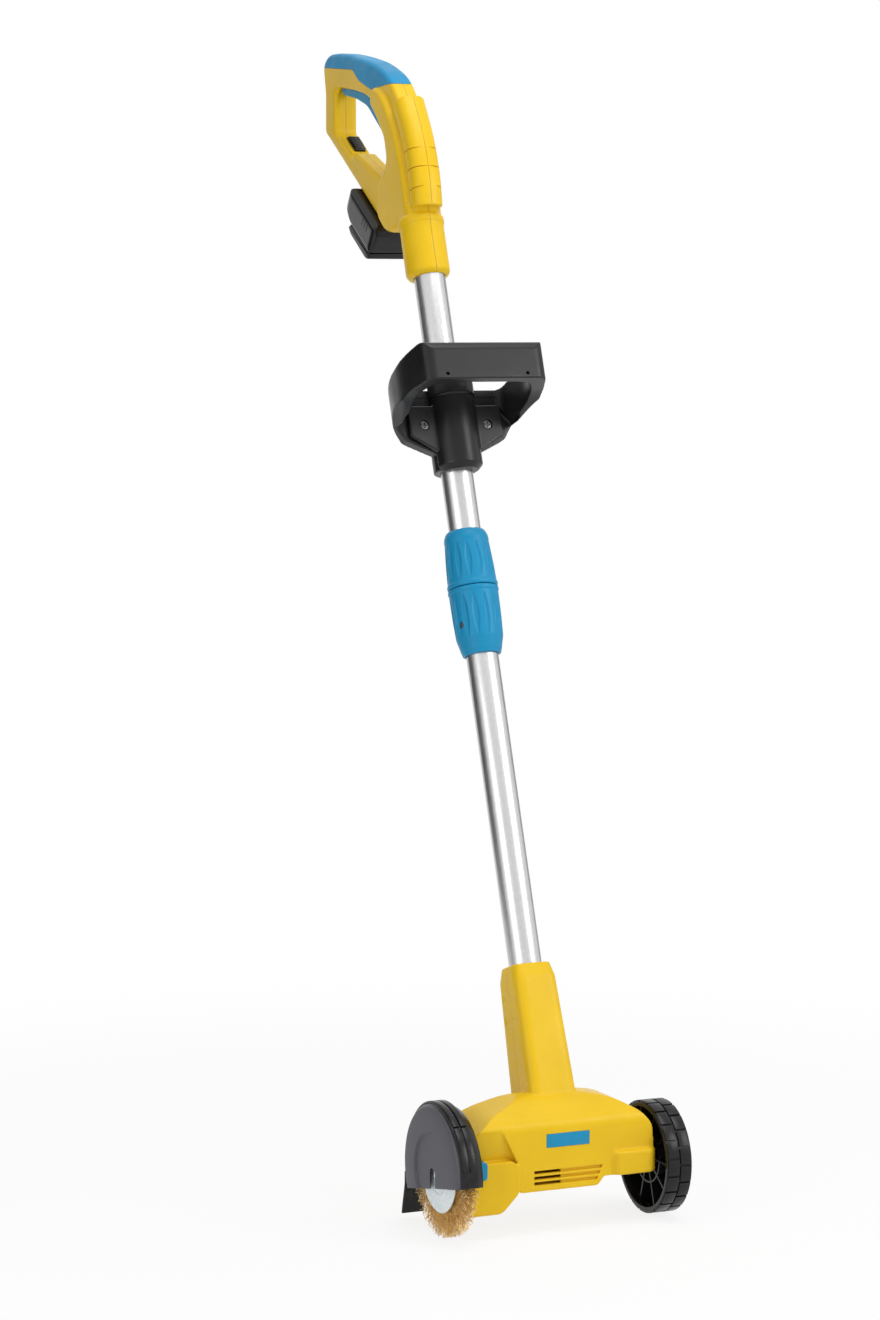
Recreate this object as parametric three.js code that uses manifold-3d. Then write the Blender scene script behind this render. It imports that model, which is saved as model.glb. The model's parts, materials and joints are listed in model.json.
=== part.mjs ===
// Cordless patio cleaner: a wire brush under a guard and a wheel, on a long leaning pole.
// Millimetres. X runs from the brush to the wheel, +Y towards the user, +Z up.
import * as THREE from 'three';
import Module from 'manifold-3d';
import { mergeVertices } from 'three/addons/utils/BufferGeometryUtils.js';

const wasm = await Module();
wasm.setup();

// Fits that every seat, bore and cut shares
const seatGap = 0.35;
const runningGap = 0.3;
const overrun = 4;
const bladeSlack = 0.6;

// Pole
const poleLeanDeg = 19;
const poleRise = 52;
const tubeDiameter = 30;
const tubeWall = 1.2;
const lowerTubeLength = 448;
const innerTubeHold = 270;
const innerTubeStub = 59;
const upperTubeLength = 327;

// Brush, spindle and drive
const spindleHeight = 56.5;
const brushRadius = 58;
const brushX = -107;
const brushThickness = 8;
const bristleRootRadius = 33;
const bristleWidth = 1.1;
const bristleRows = 4;
const bristlesPerQuarter = 19;
const bristleFanDeg = 7;
const bristleSpread = 6.2;
const brushDiscRadius = 36;
const brushDiscThickness = 1.6;
const spindleRadius = 4;
const spindleEndX = -52;
const gearModule = 1.5;
const gearTeeth = 27;
const pinionTeeth = 9;
const gearX = -70;
const gearWidth = 8;
const bearingRadius = 8;
const bearingWidth = 6;
const outerBearingX = -88;
const innerBearingX = -58;
const motorRadius = 17;
const motorLength = 58;
const motorX = -58;
const motorShaftRadius = 1.6;

// Guard and flap
const guardRadius = 61;
const guardFaceRadius = 57.5;
const guardWall = 1.8;
const guardFaceX = -119;
const guardTiltDeg = 11.7;
const guardDrop = 14;
const guardStepRadius = 32;
const guardSlotWidth = 11;
const flapThickness = 2.4;
const flapWidth = 21;
const flapFoot = 4;
const flapFlare = 7;

// Housing
const housingLeft = -94.6;
const housingRight = 87;
const housingFront = 30;
const housingRear = 40;
const housingFloor = 37;
const housingCrease = 97;
const housingTop = 118.5;
const gearCaseFloor = 20;
const labelWidth = 42;
const labelHeight = 12;
const labelThickness = 0.8;

// Neck
const neckFoot = 56;
const neckTop = 180.5;
const neckFootWidth = 46;
const neckFootDepth = 51;
const neckTopWidth = 41;
const neckTopDepth = 43;
const neckRound = 9;
const mouthHeight = 12;
const mouthLip = 3;
const tubeSeat = 16;

// Wheel
const wheelRadius = 51;
const wheelWidth = 24.6;
const wheelX = 89.2;
const treadDepth = 1.8;
const treadBlocks = 16;
const wheelSpokes = 10;
const axleRadius = 5;
const axleInnerX = 62;

// Twist lock
const sleeveCover = 13;
const sleeveLength = 63.5;
const nutLength = 54.5;
const spigotLength = 26;
const lockFootRadius = 18;
const lockWaistRadius = 23.4;
const lockTopRadius = 18.6;
const lockFlutes = 12;
const fluteLength = 34;
const fluteDepth = 1.5;

// Auxiliary handle
const lockToClamp = 55.5;
const clampLength = 86;
const clampChamfer = 5;
const saddleRise = 2;
const clampRadius = 22;
const clampForward = 8;
const bowHalfWidth = 67;
const bowReach = 96;
const bowBand = 10;
const bowBar = 10;
const plateDrop = 7;
const plateFootRise = 31;
const clampScrewX = 32;
const clampScrewRadius = 2.4;
const clampHeadRadius = 4.4;

// Rear handle
const tubeInHandle = 52;
const handleRise = 288;
const handleReach = 171;
const loopHalfWidth = 12;
const bodyHalfWidth = 17.5;
const spineHalfWidth = 15;
const spineCrown = 13;
const collarRadius = 21;
const collarHeight = 57;
const gripWall = 4;
const triggerHalfWidth = 6.5;
const handleScrewRadius = 1.7;
const handleHeadRadius = 3.2;

// Strut and battery
const strutTiltDeg = 38;
const strutReach = 60;
const strutRise = 907;
const strutThickness = 14;
const slideFromFoot = 129;
const slideLength = 27;
const slideWidth = 11;
const batteryHalfWidth = 20.5;
const batteryLength = 75;
const batteryDepth = 31;
const batteryBaseDepth = 9;
const cellRadius = 9;
const cellLength = 62;

// Colours
const yellow = new THREE.Color(0.86, 0.62, 0.06);
const blue = new THREE.Color(0.05, 0.42, 0.68);
const black = new THREE.Color(0.04, 0.04, 0.045);
const graphite = new THREE.Color(0.11, 0.11, 0.13);
const satin = new THREE.Color(0.72, 0.73, 0.74);
const steel = new THREE.Color(0.6, 0.6, 0.62);
const brass = new THREE.Color(0.62, 0.42, 0.16);
const milk = new THREE.Color(0.8, 0.88, 0.88);
const green = new THREE.Color(0.05, 0.25, 0.12);

const wideEase = 11;
const wideSteps = 3;
const tightSteps = 2;
const edgeShare = 0.48;
const chamferShare = 0.9;
const fine = 24;
const medium = 18;
const coarse = 12;
const small = 8;
const mergeStep = 1e-4;
const rad = THREE.MathUtils.degToRad;
const unitX = new THREE.Vector3(1, 0, 0);
const unitY = new THREE.Vector3(0, 1, 0);
const unitZ = new THREE.Vector3(0, 0, 1);
const alongX = new THREE.Matrix4().makeBasis(unitY, unitZ, unitX);
const alongY = new THREE.Matrix4().makeBasis(unitX, unitZ, unitY.clone().negate());
const turnedX = new THREE.Matrix4().makeBasis(unitZ, unitX, unitY);
const turnedZ = new THREE.Matrix4().makeBasis(unitY, unitZ, unitX);

// Turn a closed geometry into a solid, with its faces outwards
function solid(geometry) {
  const bare = new THREE.BufferGeometry();
  bare.setAttribute('position', geometry.getAttribute('position'));
  if (geometry.index) {
    bare.setIndex(geometry.index);
  }
  const merged = mergeVertices(bare, mergeStep);
  const place = merged.getAttribute('position').array;
  const faces = [];
  let volume = 0;
  const order = merged.index.array;
  for (let i = 0; i < order.length; i += 3) {
    const [a, b, c] = [order[i], order[i + 1], order[i + 2]];
    if (a !== b && b !== c && c !== a) {
      faces.push(a, b, c);
      const [pa, pb, pc] = [a, b, c].map((v) => new THREE.Vector3().fromArray(place, v * 3));
      volume += pa.dot(pb.cross(pc));
    }
  }
  if (volume < 0) {
    faces.reverse();
  }
  return new wasm.Manifold(new wasm.Mesh({
    numProp: 3,
    vertProperties: new Float32Array(place),
    triVerts: new Uint32Array(faces),
  }));
}

// Turn a solid back into a geometry
function geometryOf(body) {
  const mesh = body.getMesh();
  const geometry = new THREE.BufferGeometry();
  geometry.setAttribute('position', new THREE.BufferAttribute(new Float32Array(mesh.vertProperties), 3));
  geometry.setIndex(new THREE.BufferAttribute(new Uint32Array(mesh.triVerts), 1));
  geometry.computeVertexNormals();
  return geometry;
}

// Outline from corners [a, b, ease], where ease is how far the rounding starts from the corner
function outline(corners) {
  const points = [];
  corners.forEach(([a, b, ease = 0], index) => {
    const here = new THREE.Vector2(a, b);
    if (ease === 0) {
      points.push(here);
      return;
    }
    const last = corners[(index + corners.length - 1) % corners.length];
    const next = corners[(index + 1) % corners.length];
    const back = new THREE.Vector2(last[0], last[1]).sub(here);
    const ahead = new THREE.Vector2(next[0], next[1]).sub(here);
    const reach = Math.min(ease, back.length() * edgeShare, ahead.length() * edgeShare);
    const start = back.setLength(reach).add(here);
    const end = ahead.setLength(reach).add(here);
    const steps = ease > wideEase ? wideSteps : tightSteps;
    points.push(...new THREE.QuadraticBezierCurve(start, here, end).getPoints(steps));
  });
  return new THREE.Shape(points);
}

// Leave out the outline points that stand too close together for a chamfer
function thinned(shape, chamfer) {
  const points = shape.getPoints();
  const kept = points.filter((point, index) => index === 0 || point.distanceTo(points[index - 1]) > chamfer * chamferShare);
  return new THREE.Shape(kept);
}

// Extrude an outline from one level to another, with an optional chamfer all round
function extruded(corners, from, to, chamfer) {
  const whole = corners instanceof THREE.Shape ? corners : outline(corners);
  const shape = chamfer > 0 ? thinned(whole, chamfer) : whole;
  const settings = { depth: to - from, bevelEnabled: false, steps: 1 };
  if (chamfer > 0) {
    settings.depth = to - from - 2 * chamfer;
    settings.bevelEnabled = true;
    settings.bevelThickness = chamfer;
    settings.bevelSize = chamfer;
    settings.bevelOffset = -chamfer;
    settings.bevelSegments = 1;
  }
  return new THREE.ExtrudeGeometry(shape, settings).translate(0, 0, from + chamfer);
}

const prismX = (corners, from, to, chamfer = 0) => solid(extruded(corners, from, to, chamfer).applyMatrix4(alongX));
const prismY = (corners, from, to, chamfer = 0) => solid(extruded(corners, -to, -from, chamfer).applyMatrix4(alongY));
const prismZ = (corners, from, to, chamfer = 0) => solid(extruded(corners, from, to, chamfer));

// Turn a profile of [radius, level] about an axis through the origin
function lathe(profile, sides, matrix) {
  const points = profile.map(([radius, level]) => new THREE.Vector2(radius, level));
  if (profile[0][0] > 0) {
    points.push(points[0].clone());
  }
  return solid(new THREE.LatheGeometry(points, sides).applyMatrix4(matrix));
}

const latheX = (profile, sides = fine) => lathe(profile, sides, turnedX);
const latheZ = (profile, sides = fine) => lathe(profile, sides, turnedZ);

const rodX = (radius, from, to, sides = medium) => latheX([[0, from], [radius, from], [radius, to], [0, to]], sides);
const rodZ = (radius, from, to, sides = medium) => latheZ([[0, from], [radius, from], [radius, to], [0, to]], sides);
const ringX = (outer, inner, from, to, sides = fine) => latheX(
  [[inner, from], [outer, from], [outer, to], [inner, to]], sides);
const ringZ = (outer, inner, from, to, sides = fine) => latheZ(
  [[inner, from], [outer, from], [outer, to], [inner, to]], sides);

// Rod along Y, from one depth to another
const rodY = (radius, from, to, sides = small) => rodZ(radius, from, to, sides).rotate([-90, 0, 0]);

function block(fromX, toX, fromY, toY, fromZ, toZ) {
  const box = new THREE.BoxGeometry(toX - fromX, toY - fromY, toZ - fromZ);
  box.translate((fromX + toX) / 2, (fromY + toY) / 2, (fromZ + toZ) / 2);
  return solid(box);
}

const object = new THREE.Group();
const pole = new THREE.Group();
pole.position.set(0, 0, poleRise);
pole.rotation.x = -rad(poleLeanDeg);
const strut = new THREE.Group();
strut.position.set(0, strutReach, strutRise);
strut.rotation.x = -rad(strutTiltDeg);
pole.add(strut);
object.add(pole);

function addPiece(name, body, parent, colour, roughness, metalness = 0) {
  const material = new THREE.MeshStandardMaterial({ color: colour, roughness, metalness });
  const piece = new THREE.Mesh(geometryOf(body), material);
  piece.name = name;
  parent.add(piece);
  return piece;
}

// From the pole's frame, or the strut's, to the frame of what carries it
const leaned = (body) => body.rotate([-poleLeanDeg, 0, 0]).translate([0, 0, poleRise]);
const onStrut = (body) => body.rotate([-strutTiltDeg, 0, 0]).translate([0, strutReach, strutRise]);

// Shares of the handle's reach and rise become outline corners; the third share is the ease
const handleOutline = (shares) => shares.map(([reachShare, riseShare, easeShare = 0]) => [
  reachShare * handleReach,
  handleFoot + riseShare * handleRise,
  easeShare * handleReach,
]);

// TUBES
const tubeRadius = tubeDiameter / 2;
const tubeBore = tubeRadius - tubeWall;
const innerTubeRadius = tubeBore - runningGap;
const lowerTubeFoot = neckFoot + tubeSeat;
const lowerTubeTop = lowerTubeFoot + lowerTubeLength;
const lockSeam = lowerTubeTop + sleeveCover;
const lockFoot = lockSeam - sleeveLength;
const lockTop = lockSeam + nutLength;
const spigotTop = lockSeam + spigotLength;
const tubeGap = 2;
const upperTubeFoot = spigotTop + tubeGap;
const upperTubeTop = upperTubeFoot + upperTubeLength;
const handleFoot = upperTubeTop - tubeInHandle;
const innerTubeFoot = lowerTubeTop - innerTubeHold;
const innerTubeTop = upperTubeFoot + innerTubeStub;
const sleeveScrewRise = 27.5;
const sleeveScrewHeight = lockFoot + sleeveScrewRise;
const sleeveScrewRadius = 2;
const sleeveHeadRadius = 3.2;
const sleeveHeadDepth = 1.6;
const sleeveScrewTurnDeg = 20;

const sleeveScrewBore = (radius, from, to) => rodX(radius, -to, -from, small)
  .rotate([0, 0, sleeveScrewTurnDeg]).translate([0, 0, sleeveScrewHeight]);

const lowerTube = ringZ(tubeRadius, tubeBore, lowerTubeFoot, lowerTubeTop)
  .subtract(sleeveScrewBore(sleeveScrewRadius + runningGap, tubeBore - overrun, tubeRadius + overrun));
addPiece('lower_tube', lowerTube, pole, satin, 0.35, 1);
addPiece('inner_tube', ringZ(innerTubeRadius, innerTubeRadius - tubeWall, innerTubeFoot, innerTubeTop), pole, satin, 0.35, 1);
addPiece('upper_tube', ringZ(tubeRadius, tubeBore, upperTubeFoot, upperTubeTop), pole, satin, 0.35, 1);

// TWIST LOCK
const lockBore = tubeRadius + seatGap;
const lockEdge = 2.5;
const lockBand = 14;
const spigotWall = 2.6;
const spigotRadius = innerTubeRadius + seatGap + spigotWall + spigotWall;
const seamGap = 0.6;

// Shallow pointed hollows round a sleeve
function flutes(level, radius, leanDeg) {
  const hollows = [];
  for (let i = 0; i < lockFlutes; i += 1) {
    const hollow = new THREE.SphereGeometry(fluteDepth, 4, 2).scale(1, 2, fluteLength / fluteDepth / 2);
    hollow.rotateY(rad(leanDeg));
    hollow.translate(radius, 0, level);
    hollow.rotateZ(rad((i + 0.5) * 360 / lockFlutes));
    hollows.push(solid(hollow));
  }
  return wasm.Manifold.union(hollows);
}

const sleeveLeanDeg = THREE.MathUtils.radToDeg(Math.atan2(lockWaistRadius - lockFootRadius, lockSeam - lockFoot));
const nutLeanDeg = THREE.MathUtils.radToDeg(Math.atan2(lockWaistRadius - lockTopRadius, lockTop - lockSeam));
const sleeveShoulder = (lockWaistRadius * 2 + lockFootRadius) / 3;
const sleeve = latheZ([
  [lockBore, lockFoot], [lockFootRadius, lockFoot], [sleeveShoulder - lockEdge, lockFoot + lockBand / 2],
  [sleeveShoulder, lockFoot + lockBand + lockEdge], [lockWaistRadius, lockSeam - lockEdge],
  [lockWaistRadius - seamGap, lockSeam - seamGap], [spigotRadius, lockSeam - seamGap],
  [spigotRadius, spigotTop], [spigotRadius - spigotWall, spigotTop],
  [spigotRadius - spigotWall, lockSeam], [innerTubeRadius + seatGap, lockSeam],
  [innerTubeRadius + seatGap, lowerTubeTop + seatGap], [lockBore, lowerTubeTop + seatGap],
], medium)
  .subtract(flutes((lockFoot + lockSeam) / 2 + lockEdge, (sleeveShoulder + lockWaistRadius) / 2 + seatGap, sleeveLeanDeg / 2))
  .subtract(sleeveScrewBore(sleeveScrewRadius + runningGap, tubeBore, lockWaistRadius + overrun))
  .subtract(sleeveScrewBore(sleeveHeadRadius + runningGap, tubeRadius + tubeWall + sleeveHeadDepth, lockWaistRadius + overrun));
addPiece('lower_lock_sleeve', sleeve, pole, blue, 0.4);

const sleeveScrew = sleeveScrewBore(sleeveScrewRadius, tubeBore + seatGap, tubeRadius + tubeWall + sleeveHeadDepth * 2)
  .add(sleeveScrewBore(sleeveHeadRadius, tubeRadius + tubeWall + sleeveHeadDepth + seatGap,
    tubeRadius + tubeWall + sleeveHeadDepth * 2 + seatGap));
addPiece('sleeve_screw', sleeveScrew, pole, steel, 0.35, 1);

const collet = ringZ(spigotRadius - spigotWall - seatGap, innerTubeRadius + seatGap, lockSeam + seatGap, spigotTop - seamGap, fine)
  .subtract(block(0, spigotRadius, -seamGap, seamGap, lockSeam - overrun, spigotTop + overrun));
addPiece('collet', collet, pole, graphite, 0.6);

const nut = latheZ([
  [spigotRadius + seatGap, lockSeam], [lockWaistRadius - seamGap, lockSeam], [lockWaistRadius, lockSeam + lockEdge],
  [lockTopRadius + seamGap, lockTop - lockBand / 2], [lockTopRadius, lockTop - lockEdge],
  [lockTopRadius - lockEdge, lockTop], [lockBore, lockTop],
  [lockBore, spigotTop + seatGap], [spigotRadius + seatGap, spigotTop + seatGap],
], medium)
  .subtract(flutes((lockSeam + lockTop) / 2, (lockWaistRadius + lockTopRadius) / 2 + seamGap, -nutLeanDeg));
addPiece('twist_lock_nut', nut, pole, blue, 0.4);

// AUXILIARY HANDLE
const saddleBore = tubeRadius + runningGap;
const plateFront = -clampForward - bladeSlack;
const earFront = plateFront - 5;
const plateRear = 4;
const clampFoot = lockTop + lockToClamp;
const clampTop = clampFoot + clampLength;
const saddleFoot = clampFoot + saddleRise;
const plateTop = clampTop - plateDrop;
const plateFoot = clampFoot + plateFootRise;
const plateRise = 13;
const clampScrewHeight = plateFoot + plateRise;
const earHalfWidth = 47;
const earHeight = 32;
const earTop = plateFoot + earHeight;
const bowFrontRise = 13;
const bowTopFront = clampTop + bowFrontRise;
const bowFootFront = earTop;
const bowHollow = 14;
const bowMiddleFoot = bowFootFront - bowHollow;
const bowMiddleReach = 38;
const capRing = 15;

const bowOutline = [
  [-bowHalfWidth * 0.87, -bowReach, 8], [-bowHalfWidth * 1.05, -bowReach * 0.62, 20], [-bowHalfWidth * 1.02, -bowReach * 0.25, 20],
  [-bowHalfWidth * 0.85, plateRear, 10], [bowHalfWidth * 0.85, plateRear, 10], [bowHalfWidth * 1.02, -bowReach * 0.25, 20],
  [bowHalfWidth * 1.05, -bowReach * 0.62, 20], [bowHalfWidth * 0.87, -bowReach, 8],
];
const bowOpening = [
  [-bowHalfWidth * 0.86 + bowBand, bowBar - bowReach, 14], [bowBand - bowHalfWidth * 1.03, -bowReach * 0.58, 18],
  [bowBand - bowHalfWidth * 0.9, plateFront, 8], [bowHalfWidth * 0.9 - bowBand, plateFront, 8],
  [bowHalfWidth * 1.03 - bowBand, -bowReach * 0.58, 18], [bowHalfWidth * 0.86 - bowBand, bowBar - bowReach, 14],
];
const bowSide = [
  [-bowReach - overrun, bowFootFront], [-bowReach - overrun, bowTopFront], [-bowReach, bowTopFront],
  [plateFront, plateTop], [plateRear + overrun, plateTop], [plateRear + overrun, saddleFoot],
  [plateFront, saddleFoot], [plateFront - 1, plateFoot], [plateFront * 2, bowMiddleFoot - overrun * 2, 3],
  [-bowMiddleReach, bowMiddleFoot, 6], [-bowReach * 0.65, bowFootFront - overrun, 10], [-bowReach, bowFootFront],
];
const bowFace = [
  [-bowHalfWidth * 1.2, plateFoot + 2], [-bowHalfWidth * 0.78, plateFoot],
  [-clampRadius, plateFoot - plateRise], [clampRadius, plateFoot - plateRise],
  [bowHalfWidth * 0.78, plateFoot], [bowHalfWidth * 1.2, plateFoot + 2],
  [bowHalfWidth * 1.2, bowTopFront + overrun], [-bowHalfWidth * 1.2, bowTopFront + overrun],
];
const capOutline = [
  [-earHalfWidth, earTop, 2], [-earHalfWidth, plateFoot + 3, 2], [-clampRadius, plateFoot - plateRise + 1, 2],
  [clampRadius, plateFoot - plateRise + 1, 2], [earHalfWidth, plateFoot + 3, 2], [earHalfWidth, earTop, 2],
];
const screwAt = (x, radius, from, to, sides = small) => rodY(radius, from, to, sides).translate([x, 0, clampScrewHeight]);
let clampTube = latheZ([
  [0, clampFoot], [clampRadius - clampChamfer, clampFoot], [clampRadius, clampFoot + clampChamfer],
  [clampRadius, clampTop], [0, clampTop],
], medium).translate([0, -clampForward, 0]);
clampTube = clampTube.add(rodZ(clampRadius + seamGap, clampTop - capRing, clampTop - lockEdge)
  .translate([0, -clampForward, 0]));
const ears = (grow) => prismY(capOutline.map(([x, level, ease]) => [
  x + Math.sign(x) * grow, level + (level > clampScrewHeight ? grow : -grow), ease]), earFront, plateFront);
const frontHalf = block(-earHalfWidth - overrun, earHalfWidth + overrun, -bowReach, plateFront, clampFoot - overrun, clampTop + overrun);
const bowHull = prismZ(bowOutline, clampFoot, bowTopFront + overrun)
  .subtract(prismZ(bowOpening, clampFoot - overrun, bowTopFront + overrun * 2))
  .intersect(prismX(bowSide, -bowHalfWidth * 1.2, bowHalfWidth * 1.2))
  .intersect(prismY(bowFace, -bowReach - overrun, plateRear + overrun));
const rearSaddle = rodZ(clampRadius - seamGap, saddleFoot, plateTop)
  .subtract(block(-clampRadius - overrun, clampRadius + overrun, -clampRadius - overrun, plateFront + seatGap,
    clampFoot - overrun, clampTop + overrun));
const earRelief = block(-earHalfWidth - seatGap, earHalfWidth + seatGap, -bowReach / 2, plateFront + seatGap,
  clampFoot - overrun, clampTop + overrun);
let bow = bowHull.add(rearSaddle).subtract(earRelief);
bow = bow.subtract(rodZ(saddleBore, clampFoot - overrun, clampTop + overrun));
let cap = clampTube.add(ears(0)).intersect(frontHalf);
cap = cap.subtract(rodZ(saddleBore, clampFoot - overrun, clampTop + overrun));
const screwTail = plateRear - overrun / 2;
const nutThickness = 3;
const screwHead = 3;
const screws = [-clampScrewX, clampScrewX];
screws.forEach((x, index) => {
  bow = bow.subtract(screwAt(x, clampScrewRadius + runningGap, plateFront - overrun, plateRear + overrun));
  bow = bow.subtract(screwAt(x, clampHeadRadius + runningGap, plateRear - nutThickness, plateRear + overrun, coarse));
  cap = cap.subtract(screwAt(x, clampScrewRadius + runningGap, earFront - overrun, plateFront + overrun));
  cap = cap.subtract(screwAt(x, clampHeadRadius + runningGap, earFront - overrun, earFront + screwHead));
  const screw = screwAt(x, clampScrewRadius, earFront + screwHead, screwTail)
    .add(screwAt(x, clampHeadRadius, earFront + seamGap, earFront + screwHead - seatGap).add(
      screwAt(x, clampScrewRadius, earFront + screwHead / 2, earFront + screwHead + seamGap)));
  addPiece(`clamp_screw_${index + 1}`, screw, pole, steel, 0.35, 1);
  const hexNut = rodY(clampHeadRadius, plateRear - nutThickness + seatGap, plateRear, 6)
    .translate([x, 0, clampScrewHeight])
    .subtract(screwAt(x, clampScrewRadius + runningGap, plateFront - overrun, plateRear + overrun));
  addPiece(`clamp_nut_${index + 1}`, hexNut, pole, steel, 0.35, 1);
});
addPiece('aux_bow', bow, pole, black, 0.45);
addPiece('aux_clamp_cap', cap, pole, black, 0.45);

// REAR HANDLE
const loopShares = [
  [-0.082, 0.198], [-0.129, 0.264, 0.05], [-0.117, 0.448, 0.08], [-0.07, 0.587, 0.08], [0.023, 0.708, 0.1],
  [0.222, 0.806, 0.1], [0.44, 0.882, 0.1], [0.655, 0.948, 0.08], [0.81, 0.98, 0.06], [0.905, 0.965, 0.06],
  [0.925, 0.86, 0.03], [1, 0.736, 0.04], [0.96, 0.7085, 0.02], [0.33, 0.232, 0.05], [0.2, 0.198, 0.03],
];
const openingShares = [
  [0.775, 0.833, 0.025], [0.852, 0.706, 0.02], [0.678, 0.573, 0.012], [0.62, 0.576, 0.012], [0.304, 0.406, 0.04],
  [0.14, 0.444, 0.05], [0.134, 0.517, 0.03], [0.205, 0.604, 0.05], [0.345, 0.698, 0.05], [0.52, 0.768, 0.06],
  [0.71, 0.83, 0.02],
];
const bodyShares = [
  [-0.02, 0.198], [-0.045, 0.264, 0.05], [-0.04, 0.42, 0.08], [0.02, 0.56, 0.08], [0.09, 0.66, 0.08],
  [0.2, 0.72, 0.05], [0.27, 0.66, 0.03], [0.205, 0.604, 0.04], [0.14, 0.517, 0.03], [0.146, 0.435, 0.05],
  [0.3, 0.39, 0.05], [0.38, 0.3, 0.06], [0.3, 0.226, 0.05], [0.2, 0.198, 0.03],
];
const gripShares = [
  [1.06, 1.08], [0.95, 0.962], [0.86, 0.944], [0.491, 0.847, 0.02], [0.427, 0.792, 0.03], [0.269, 0.719, 0.04],
  [0.117, 0.698, 0.04], [-0.058, 0.667], [-0.2, 0.62], [-0.28, 0.8], [0.1, 1.1], [1.06, 1.1],
];
const coreShares = [
  [-0.16, 0.56], [-0.035, 0.62], [0.055, 0.69, 0.04], [0.235, 0.78, 0.05], [0.452, 0.86, 0.05], [0.66, 0.925, 0.05],
  [0.8, 0.952, 0.04], [0.885, 0.94, 0.03], [0.9, 0.8], [0.5, 0.5], [0.1, 0.45],
];
const triggerShares = [
  [0.752, 0.837, 0.01], [0.726, 0.812, 0.012], [0.573, 0.763, 0.05], [0.428, 0.702, 0.05], [0.35, 0.635, 0.03],
  [0.285, 0.58, 0.01], [0.254, 0.605, 0.01], [0.304, 0.667, 0.04], [0.42, 0.743, 0.05], [0.573, 0.81, 0.05],
  [0.69, 0.848, 0.01],
];
const slotShares = [
  [0.79, 0.8], [0.78, 0.868], [0.655, 0.875], [0.49, 0.835], [0.34, 0.764], [0.222, 0.688], [0.164, 0.59],
  [0.29, 0.54], [0.36, 0.58], [0.47, 0.67], [0.58, 0.74],
];
const bodyChamfer = 3.5;
const loop = prismX(handleOutline(loopShares), -loopHalfWidth, loopHalfWidth, bodyChamfer)
  .subtract(prismX(handleOutline(openingShares), -bodyHalfWidth * 2, bodyHalfWidth * 2));
const wideBody = prismX(handleOutline(bodyShares), -bodyHalfWidth, bodyHalfWidth, bodyChamfer);

const spinePath = new THREE.CatmullRomCurve3(
  [[-0.075, 0.19], [-0.108, 0.326], [-0.095, 0.458], [-0.038, 0.6]].map(([reachShare, riseShare]) => (
    new THREE.Vector3(0, reachShare * handleReach, handleFoot + riseShare * handleRise))));
const spineSection = new THREE.Shape(
  new THREE.EllipseCurve(0, 0, spineCrown, spineHalfWidth, 0, Math.PI * 2).getPoints(fine / 2).slice(0, -1));
const spineSteps = 6;
const spine = solid(new THREE.ExtrudeGeometry(spineSection, {
  steps: spineSteps, bevelEnabled: false, extrudePath: spinePath,
}));
const grooveWidth = 0.9;
const grooveLevels = [0.28, 0.347, 0.413].map((riseShare) => handleFoot + riseShare * handleRise);
const collarTop = handleFoot + collarHeight;
const collarForward = 2;
const collarLip = 0.8;
const lipHeight = 6;
const collar = latheZ([
  [0, handleFoot], [collarRadius - bodyChamfer, handleFoot], [collarRadius, handleFoot + bodyChamfer],
  [collarRadius, collarTop - lipHeight], [collarRadius + collarLip, collarTop - lipHeight + collarLip],
  [collarRadius + collarLip, collarTop], [collarRadius - bodyChamfer, collarTop + bodyChamfer], [0, collarTop + bodyChamfer],
], fine).translate([0, collarForward, 0]);

const bezelRise = 2.6;
const bezelMargin = 4;
const bezel = onStrut(block(-slideWidth / 2 - bezelMargin, slideWidth / 2 + bezelMargin,
  -strutThickness - bezelRise, -strutThickness + bezelRise,
  slideFromFoot - slideLength / 2 - bezelMargin, slideFromFoot + slideLength / 2 + bezelMargin));

let handleBody = loop.add(wideBody).add(spine).add(collar).add(bezel);
grooveLevels.forEach((level) => {
  const cutFrom = -spineHalfWidth - spineCrown - overrun;
  handleBody = handleBody.subtract(block(-spineHalfWidth - overrun, spineHalfWidth + overrun, cutFrom, cutFrom + spineCrown,
    level, level + grooveWidth).subtract(rodZ(spineHalfWidth, level - overrun, level + overrun, coarse).translate([0, -spineCrown, 0])));
});

// The soft grip covers the top of the loop round a yellow core
const coreHalfWidth = loopHalfWidth - gripWall;
const gripRegion = prismX(handleOutline(gripShares), -bodyHalfWidth * 2, bodyHalfWidth * 2);
const core = (grow) => prismX(handleOutline(coreShares), -coreHalfWidth - grow, coreHalfWidth + grow)
  .translate([0, 0, grow]);
const gripOuter = loop.add(wideBody).intersect(gripRegion);
const softGrip = gripOuter.subtract(core(seatGap));
handleBody = handleBody.subtract(gripRegion.translate([0, 0, -seatGap]).subtract(core(0)));
addPiece('soft_grip', softGrip, pole, blue, 0.6);

// Trigger on its pin, with its slot
const pivotReach = 0.708 * handleReach;
const pivotLevel = handleFoot + 0.833 * handleRise;
const pinRadius = 2;
const slot = prismX(handleOutline(slotShares), -triggerHalfWidth - bladeSlack, triggerHalfWidth + bladeSlack);
const pinBore = (radius, half) => rodX(radius, -half, half, small).translate([0, pivotReach, pivotLevel]);
const pinHalf = loopHalfWidth - gripWall;
const trigger = prismX(handleOutline(triggerShares), -triggerHalfWidth, triggerHalfWidth, 1.5)
  .subtract(pinBore(pinRadius + runningGap, pinHalf * 2));
addPiece('trigger', trigger, pole, blue, 0.45);
addPiece('trigger_pin', pinBore(pinRadius, pinHalf - seatGap), pole, steel, 0.35, 1);
handleBody = handleBody.subtract(slot).subtract(pinBore(pinRadius + runningGap, pinHalf));

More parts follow.
